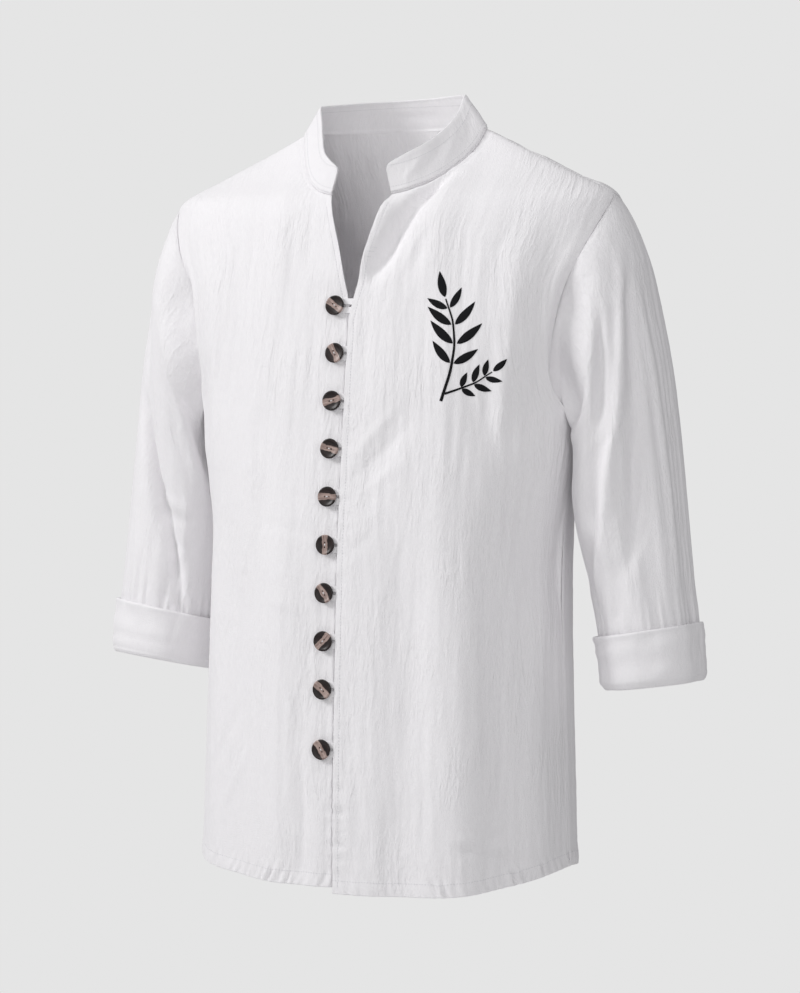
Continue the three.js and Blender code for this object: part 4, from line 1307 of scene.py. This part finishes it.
def sew(name, lines, pitch=3.0, length=2.0, width=0.5):
    """A piece of stitches along lines, which are lists of points in millimetres."""
    curve = bpy.data.curves.new(name + "_path", "CURVE")
    curve.dimensions = "3D"
    for line in lines:
        spline = curve.splines.new("POLY")
        spline.points.add(len(line) - 1)
        spline.points.foreach_set("co", np.column_stack([line * MM, np.ones(len(line))]).ravel())
    path = place_in_scene(name + "_path", curve)
    rows = path.modifiers.new("rows", "NODES")
    rows.node_group = SEWN_ROW
    sizes = {"Pitch": pitch * MM, "Length": length * MM, "Width": width * MM, "Thread": THREAD}
    for item in SEWN_ROW.interface.items_tree:
        if item.in_out == "INPUT" and item.name in sizes:
            rows[item.identifier] = sizes[item.name]
    mesh = evaluated_mesh(path)
    path.modifiers.remove(rows)
    bpy.data.objects.remove(path)
    return add_piece(name, mesh, None, "cloth")


def surface_tree(piece):
    mesh = piece.data
    points = np.empty(len(mesh.vertices) * 3, np.float32)
    mesh.vertices.foreach_get("co", points)
    return BVHTree.FromPolygons(
        [Vector(p) for p in points.reshape(-1, 3)], [tuple(p.vertices) for p in mesh.polygons]
    )


# Cloth pieces


def line_at(sheet, distance, axis, low=0.0, high=1.0, lift=0.12):
    """A path on a sheet at a distance from its first row (axis 0) or first column (axis 1)."""
    steps = np.linalg.norm(np.diff(sheet.point, axis=axis), axis=-1)
    run = np.cumsum(steps, axis=axis)
    run = np.insert(run, 0, 0, axis=axis)
    count = sheet.point.shape[1 - axis]
    places = []
    for i in range(int(low * (count - 1)), int(high * (count - 1)) + 1):
        column = run[:, i] if axis == 0 else run[i]
        j = int(np.clip(np.searchsorted(column, distance) - 1, 0, len(column) - 2))
        t = (distance - column[j]) / (column[j + 1] - column[j])
        a, b = ((j, i), (j + 1, i)) if axis == 0 else ((i, j), (i, j + 1))
        point = mix(sheet.point[a], sheet.point[b], t)
        places.append(point + sheet.normal[a] * lift)
    return np.array(places)


def add_cloth(name, sheet, material=GAUZE, thickness=CLOTH, rim=0.35):
    cloth = name + "_cloth"
    return add_piece(cloth, shell_mesh(cloth, sheet, thickness, rim), material, "cloth", name)


def build_front(name, side):
    sheet = front_sheet(name, side)
    piece = add_cloth(name, sheet)
    neck_row = np.searchsorted(row_shares(), NECK_FRONT_SHARE) / (len(row_shares()) - 1)
    hem = line_at(sheet, HEM_STITCH, axis=0, low=0.01)
    edge = line_at(sheet, EDGE_STITCH, axis=1, low=0.03, high=neck_row - 0.01)
    return piece, [sew(name + "_sewing", [hem, edge])]


def build_back():
    sheet = back_sheet()
    piece = add_cloth("back", sheet)
    return piece, [sew("back_sewing", [line_at(sheet, HEM_STITCH, axis=0)])]


def build_collar():
    sheet = collar_sheet()
    piece = add_cloth("collar", sheet, DOUBLE_GAUZE, COLLAR_WALL, 0.5)
    inside = Sheet(sheet.point - sheet.normal * COLLAR_WALL, -sheet.normal, sheet.weave)
    top = COLLAR_HEIGHT - 3.2
    seams = ((sheet, top), (inside, top), (inside, 2.2), (inside, 7.2))
    rows = [line_at(face, height, axis=0, low=0.012, high=0.988) for face, height in seams]
    return piece, [sew("collar_sewing", rows, pitch=2.6, length=1.8)]


def build_sleeve(word, side):
    """A sleeve and its cuff."""
    name, cuff = f"sleeve_{word}", f"cuff_{word}"
    piece = add_cloth(name, sleeve_sheet(name, side), rim=0.2)
    rings = ring_mesh(cuff + "_cloth", *cuff_rings(name, side))
    return piece, add_piece(cuff + "_cloth", rings, DOUBLE_GAUZE, "cloth", cuff)


# Buttons and loops

BUTTON_TURNS = (-35, -60, 15, -15, 0, 90, -55, 45, -40, -55)
HOLE_RADIUS = 0.85
HOLE_PLACE = 2.3
BUTTON_PROFILE = table(
    "radius height",
    (0, 0),
    (BUTTON_RADIUS - 2.6, 0),
    (BUTTON_RADIUS - 0.9, 0.45),
    (BUTTON_RADIUS - 0.15, 1.2),
    (BUTTON_RADIUS, 1.75),
    (BUTTON_RADIUS - 0.12, BUTTON_THICK - 0.75),
    (BUTTON_RADIUS - 0.5, BUTTON_THICK - 0.25),
    (BUTTON_RADIUS - 1.05, BUTTON_THICK),
    (BUTTON_RADIUS - 1.6, BUTTON_THICK - 0.05),
    (BUTTON_RADIUS - 2.4, BUTTON_THICK - 0.5),
    (5.6, BUTTON_THICK - 0.85),
    (4.4, BUTTON_THICK - 0.95),
    (0, BUTTON_THICK - 1.05),
)


def button_heights():
    even = [FIRST_BUTTON_Z - i * BUTTON_PITCH for i in range(BUTTON_COUNT - 1)]
    return [*even, LAST_BUTTON_Z]


def button_frame(z):
    """Where a button and its loop lie: x towards the over front, y up, z outwards."""
    inset = TOP_BUTTON_INSET if z == FIRST_BUTTON_Z else BUTTON_INSET
    angle = torso_angle(-inset, z)
    base = torso_point(angle, z)
    normal = unit(torso_normal(angle, z) * np.array([0, 1, 1]))
    across = np.array([1.0, 0, 0])
    place = np.eye(4)
    place[:3, :3] = np.column_stack([across, np.cross(normal, across), normal])
    place[:3, 3] = (-inset, base[1], z)
    return place, inset


def lathe(bm, sizes, segments):
    """Spins a two-column profile round z into a closed body."""
    profile = [bm.verts.new((r, 0, h)) for r, h in zip(*sizes.values())]
    edges = [bm.edges.new(pair) for pair in zip(profile, profile[1:])]
    bmesh.ops.spin(
        bm, geom=profile + edges, cent=(0, 0, 0), axis=(0, 0, 1), angle=2 * math.pi, steps=segments
    )
    bmesh.ops.remove_doubles(bm, verts=bm.verts, dist=1e-4)
    bmesh.ops.recalc_face_normals(bm, faces=bm.faces)


def button_blank():
    """The horn disc with a raised rim, a dished middle and two thread holes."""
    disc = bmesh.new()
    lathe(disc, BUTTON_PROFILE, 48)
    blank = bpy.data.meshes.new("button_blank")
    disc.to_mesh(blank)
    disc.free()
    holder = place_in_scene("button_blank", blank)
    drills = []
    for side in (1, -1):
        drill = bmesh.new()
        bmesh.ops.create_cone(
            drill,
            cap_ends=True,
            segments=16,
            radius1=HOLE_RADIUS,
            radius2=HOLE_RADIUS,
            depth=3 * BUTTON_THICK,
        )
        bmesh.ops.translate(drill, verts=drill.verts, vec=(side * HOLE_PLACE, 0, 0))
        mesh = bpy.data.meshes.new("drill")
        drill.to_mesh(mesh)
        drill.free()
        tool = place_in_scene("drill", mesh)
        cut = holder.modifiers.new("hole", "BOOLEAN")
        cut.operation, cut.object, cut.solver = "DIFFERENCE", tool, "EXACT"
        drills.append(tool)
    mesh = evaluated_mesh(holder)
    for extra in (holder, *drills):
        bpy.data.objects.remove(extra)
    return mesh


def place_mesh(mesh, place):
    """Moves a mesh made in millimetres to its place and turns it into metres."""
    mesh.transform(Matrix.Scale(MM, 4) @ Matrix(place.tolist()))


def moved_out(height):
    place = np.eye(4)
    place[2, 3] = height
    return place


def turn_about_z(degrees):
    a = math.radians(degrees)
    place = np.eye(4)
    place[:2, :2] = [[math.cos(a), -math.sin(a)], [math.sin(a), math.cos(a)]]
    return place


def build_button(index, z, blank):
    place, _ = button_frame(z)
    mesh = blank.copy()
    flat = mesh.uv_layers.new(name="face")
    for loop in mesh.loops:
        x, y, _z = mesh.vertices[loop.vertex_index].co
        flat.data[loop.index].uv = (x * MM, y * MM)
    cut = mesh.attributes.new("cut", "FLOAT", "POINT")
    cut.data.foreach_set("value", np.full(len(mesh.vertices), 3.7 * index, np.float32))
    mesh.polygons.foreach_set("use_smooth", np.ones(len(mesh.polygons), bool))
    place_mesh(mesh, place @ moved_out(BUTTON_LEVEL) @ turn_about_z(BUTTON_TURNS[index]))
    number = f"{index + 1:02d}"
    mesh.name = f"button_{number}_horn"
    piece = add_piece(mesh.name, mesh, HORN, "button", f"button_{number}")
    piece.data.set_sharp_from_angle(angle=math.radians(50))
    return piece


def build_button_threads(heights):
    """The thread through each button: a knot in the dish and the shank under it."""
    bm = bmesh.new()
    for index, z in enumerate(heights):
        place, _ = button_frame(z)
        matrix = Matrix((place @ turn_about_z(BUTTON_TURNS[index])).tolist())
        dish = Matrix.Translation((0, 0, BUTTON_LEVEL + BUTTON_THICK - 0.85))
        knot = dish @ Matrix.Diagonal((1.0, 0.62, 0.42, 1))
        shank = Matrix.Translation((0, 0, -0.95)) @ Matrix.Diagonal((1.5, 1.5, 1.5, 1))
        for shape in (knot, shank):
            bmesh.ops.create_uvsphere(bm, u_segments=10, v_segments=6, radius=1, matrix=matrix @ shape)
    bm.transform(Matrix.Scale(MM, 4))
    for face in bm.faces:
        face.smooth = True
    mesh = bpy.data.meshes.new("button_threads")
    bm.to_mesh(mesh)
    bm.free()
    return add_piece("button_threads", mesh, THREAD, "cloth")


def loop_outline(inset):
    """A U-shaped flat band round the shank, with the narrow slit between its two runs."""
    half, root = LOOP_WIDTH / 2, inset + LOOP_UNDER
    bend = np.linspace(np.pi / 2, 3 * np.pi / 2, 17)
    outer = [(root, -half), (root, half), *zip(half * np.cos(bend), half * np.sin(bend))]
    eye = np.linspace(-np.pi / 3, -5 * np.pi / 3, 13)
    slit = [(root - 0.8, 0.9), (root - 0.8, -0.9), *zip(2.4 * np.cos(eye), 2.4 * np.sin(eye))]
    return outer, slit


def build_loop(index, z):
    place, inset = button_frame(z)
    curve = bpy.data.curves.new("loop_outline", "CURVE")
    curve.dimensions, curve.fill_mode = "2D", "BOTH"
    soft_edge = 0.3
    curve.extrude = LOOP_THICK / 2 - soft_edge
    curve.bevel_depth, curve.bevel_resolution = soft_edge, 2
    curve.offset = -soft_edge
    for outline in loop_outline(inset):
        spline = curve.splines.new("POLY")
        spline.points.add(len(outline) - 1)
        spline.points.foreach_set("co", [c for x, y in outline for c in (x, y, 0, 1)])
        spline.use_cyclic_u = True
    holder = place_in_scene("loop_outline", curve)
    mesh = evaluated_mesh(holder)
    bpy.data.objects.remove(holder)
    place_mesh(mesh, place @ moved_out(LOOP_LEVEL + LOOP_THICK / 2))
    number = f"{index + 1:02d}"
    mesh.name = f"loop_{number}_band"
    return add_piece(mesh.name, welded(mesh), LOOP_CLOTH, "cloth", f"loop_{number}")


# The printed sprig on the chest: a generic leaf motif

INK_LIFT = 0.22
INK_THICK = 0.1


def leaf(root, degrees, length, width, bend):
    """Outline of a pointed leaf as rows of (left, right) points in the plane of the chest."""
    t = np.linspace(0, 1, 15)
    heading = np.radians(degrees) + bend * t
    spine = np.array(root) + np.cumsum(
        np.column_stack([np.cos(heading), np.sin(heading)]) * length / (len(t) - 1), axis=0
    )
    half = width / 2 * np.sin(np.pi * t**0.8) ** 0.9
    side = np.column_stack([-np.sin(heading), np.cos(heading)]) * half[:, None]
    return np.stack([spine + side, spine + side / 2, spine, spine - side / 2, spine - side], 1)


def stem(points, width_low, width_high):
    """A curved stem that tapers upwards."""
    knots = np.array(points, float)
    t = np.linspace(0, 1, 40)
    spine = np.column_stack([np.interp(t, np.linspace(0, 1, len(knots)), knots[:, i]) for i in (0, 1)])
    for _ in range(6):
        spine[1:-1] = (spine[:-2] + 2 * spine[1:-1] + spine[2:]) / 4
    heading = unit(np.gradient(spine, axis=0))
    half = mix(width_low, width_high, t)[:, None] / 2
    side = np.column_stack([-heading[:, 1], heading[:, 0]]) * half
    return np.stack([spine + side, spine, spine - side], 1)


def along(knots, share):
    knots = np.array(knots, float)
    return [np.interp(share, np.linspace(0, 1, len(knots)), knots[:, a]) for a in (0, 1)]


TALL_STEM = ((99, -268), (107, -240), (110, -214), (107, -190), (99, -170))
SMALL_STEM = ((102.5, -261), (116, -256), (131, -250), (145, -240))
TALL_LEAVES = table(
    "share left right length width",
    (0.32, 138, 24, 28, 7.8),
    (0.5, 144, 32, 32, 8.4),
    (0.69, 152, 42, 30, 8.0),
    (0.88, 162, 56, 23, 6.8),
)
SMALL_LEAVES = table(
    "share left right length width",
    (0.36, 78, -36, 15, 5.6),
    (0.6, 80, -30, 18, 6.2),
    (0.84, 86, -22, 16, 5.6),
)


def sprig_shapes():
    """The sprig: a tall curved stem with paired leaves, and a smaller one beside it."""
    shapes = [stem(TALL_STEM, 3.0, 1.3), stem(SMALL_STEM, 2.3, 1.1)]
    shapes.append(leaf(TALL_STEM[-1], 112, 26, 8.0, -0.2))
    shapes.append(leaf(SMALL_STEM[-1], 38, 17, 5.8, 0.2))
    for path, leaves in ((TALL_STEM, TALL_LEAVES), (SMALL_STEM, SMALL_LEAVES)):
        for share, left, right, length, width in zip(*leaves.values()):
            root = along(path, share)
            shapes.append(leaf(root, left, length, width, -0.25))
            shapes.append(leaf(root, right, length * 0.95, width, 0.25))
    return shapes


def on_front(tree, x, z):
    """Points on the cloth of the left front, and the torso's normals there."""
    angle = torso_angle(x, z)
    base, normal = torso_point(angle, z), torso_normal(angle, z)
    placed = []
    for p, n in zip(base, normal):
        hit = tree.ray_cast(Vector((p + n * 30) * MM), Vector(-n))[0]
        placed.append(np.array(hit) / MM if hit is not None else p)
    return np.array(placed), normal


def build_tacks(front):
    """Short bars of thread that hold the facing beside the V."""
    tree = surface_tree(front)
    bars = ((8.0, 13.5, -120), (7.5, 12.5, -124), (6.5, 11.0, -129))
    lines = []
    for near, far, z in bars:
        edge = read(V_EDGE, "left", 0.7 + 0.07 * (z + 118) / 52.5)
        x = edge + np.linspace(near, far, 5) - 4
        placed, normal = on_front(tree, x, np.full(5, float(z)))
        lines.append(placed + normal * 0.15)
    return sew("facing_tacks", lines, pitch=1.5, length=1.4, width=0.5)


def build_sprig(front):
    """Lays the sprig on the cloth as thin plates of ink."""
    tree = surface_tree(front)
    points, quads = [], []
    for shape in sprig_shapes():
        rows, columns = shape.shape[:2]
        placed, normal = on_front(tree, shape[..., 0].ravel(), shape[..., 1].ravel())
        top = placed + normal * (INK_LIFT + INK_THICK)
        start, count = sum(len(p) for p in points), rows * columns
        points += [top, top - normal * INK_THICK]
        at = start + np.arange(count).reshape(rows, columns)
        grid = np.stack([at[:-1, :-1], at[:-1, 1:], at[1:, 1:], at[1:, :-1]], -1).reshape(-1, 4)
        border = np.concatenate([at[0, :-1], at[:-1, -1], at[-1, :0:-1], at[:0:-1, 0]])
        following = np.roll(border, -1)
        rim = np.stack([following, border, border + count, following + count], -1)
        quads += [grid, grid[:, ::-1] + count, rim]
    mesh = make_mesh("chest_sprig_print", np.concatenate(points), np.concatenate(quads))
    return add_piece("chest_sprig_print", welded(mesh), INK, "cloth")


# Camera, lights and floor, in metres

CAMERA_AZIMUTH = 25
CAMERA_DISTANCE = 2.9
CAMERA_HEIGHT = -0.22
CAMERA_SENSOR, CAMERA_LENS = 36.0, 105.13
CAMERA_SHIFT = 0.0121, -0.1465
BACKDROP = (0.783, 0.783, 0.783, 1)
WORLD_LIGHT, WORLD_STRENGTH = (0.985, 0.985, 1.0, 1), 0.32
FLOOR_Z = -1.3
FLOOR_RADIUS = 1.95

# Area lights: name, place, size, power, the point that it faces, and its spread
MIDDLE = (0, 0, -0.4)
LIGHTS = (
    ("key", (-2.5, -1.9, 1.4), 1.1, 64, MIDDLE, math.pi),
    ("top", (0.2, -0.8, 2.0), 1.4, 9, (0, 0, -0.1), math.pi),
    ("right_fill", (2.3, -2.1, 0.3), 1.8, 16, MIDDLE, math.pi),
    ("front_fill", (0.2, -3.2, 0.3), 2.0, 12, MIDDLE, math.pi),
    ("back_key", (-2.0, 2.5, 0.5), 1.3, 12, MIDDLE, math.pi),
    ("inside_fill", (-0.02, 0.0, -0.2), 0.05, 0.06, (0.06, 0.08, -0.03), 1.9),
)


def build_camera():
    azimuth = math.radians(CAMERA_AZIMUTH)
    data = bpy.data.cameras.new("camera")
    data.sensor_width, data.lens = CAMERA_SENSOR, CAMERA_LENS
    data.shift_x, data.shift_y = CAMERA_SHIFT
    camera = place_in_scene("camera", data)
    beside, ahead = math.sin(azimuth), -math.cos(azimuth)
    camera.location = (CAMERA_DISTANCE * beside, CAMERA_DISTANCE * ahead, CAMERA_HEIGHT)
    camera.rotation_euler = (math.pi / 2, 0, azimuth)
    bpy.context.scene.camera = camera


def area_light(name, place, size, power, aim, spread):
    data = bpy.data.lights.new(name, "AREA")
    data.size, data.energy, data.spread = size, power, spread
    light = place_in_scene(name, data)
    light.location, light.visible_camera = place, False
    light.rotation_euler = (Vector(aim) - Vector(place)).to_track_quat("-Z", "Y").to_euler()


def build_world():
    """A plain backdrop for the camera, and a softer light for all else."""
    world = bpy.data.worlds.new("studio")
    world.use_nodes = True
    tree = world.node_tree
    seen = tree.nodes["Background"]
    seen.inputs["Color"].default_value = BACKDROP
    fill = node(tree, "ShaderNodeBackground", Color=WORLD_LIGHT, Strength=WORLD_STRENGTH)
    rays = tree.nodes.new("ShaderNodeLightPath")
    choose = tree.nodes.new("ShaderNodeMixShader")
    tree.links.new(rays.outputs["Is Camera Ray"], choose.inputs[0])
    tree.links.new(fill.outputs[0], choose.inputs[1])
    tree.links.new(seen.outputs[0], choose.inputs[2])
    tree.links.new(choose.outputs[0], tree.nodes["World Output"].inputs["Surface"])
    bpy.context.scene.world = world


def build_floor():
    disc = bmesh.new()
    bmesh.ops.create_circle(disc, cap_ends=True, segments=96, radius=FLOOR_RADIUS)
    mesh = bpy.data.meshes.new("floor")
    disc.to_mesh(mesh)
    disc.free()
    mesh.transform(Matrix.Translation((0, 0, FLOOR_Z)))
    floor = place_in_scene("floor", mesh)
    material, tree, shader = new_material("studio_floor", Roughness=0.9)
    speckle(tree, shader, 3.0, 2.0, (0.72, 0.72, 0.72), (0.76, 0.76, 0.76))
    mesh.materials.append(material)


bpy.context.scene.view_settings.view_transform = "Standard"
build_camera()
build_world()
for light in LIGHTS:
    area_light(*light)
build_floor()
pieces = {}
for word, side in SIDES:
    pieces[f"front_{word}"] = build_front(f"front_{word}", side)
    sleeve, cuff = build_sleeve(word, side)
    pieces[f"sleeve_{word}"], pieces[f"cuff_{word}"] = (sleeve, []), (cuff, [])
pieces["back"] = build_back()
pieces["collar"] = build_collar()
chest, chest_sewing = pieces["front_left"]
chest_sewing.append(build_sprig(chest))
chest_sewing.append(build_tacks(chest))
blank = button_blank()
for index, z in enumerate(button_heights()):
    build_button(index, z, blank)
    build_loop(index, z)
build_button_threads(button_heights())
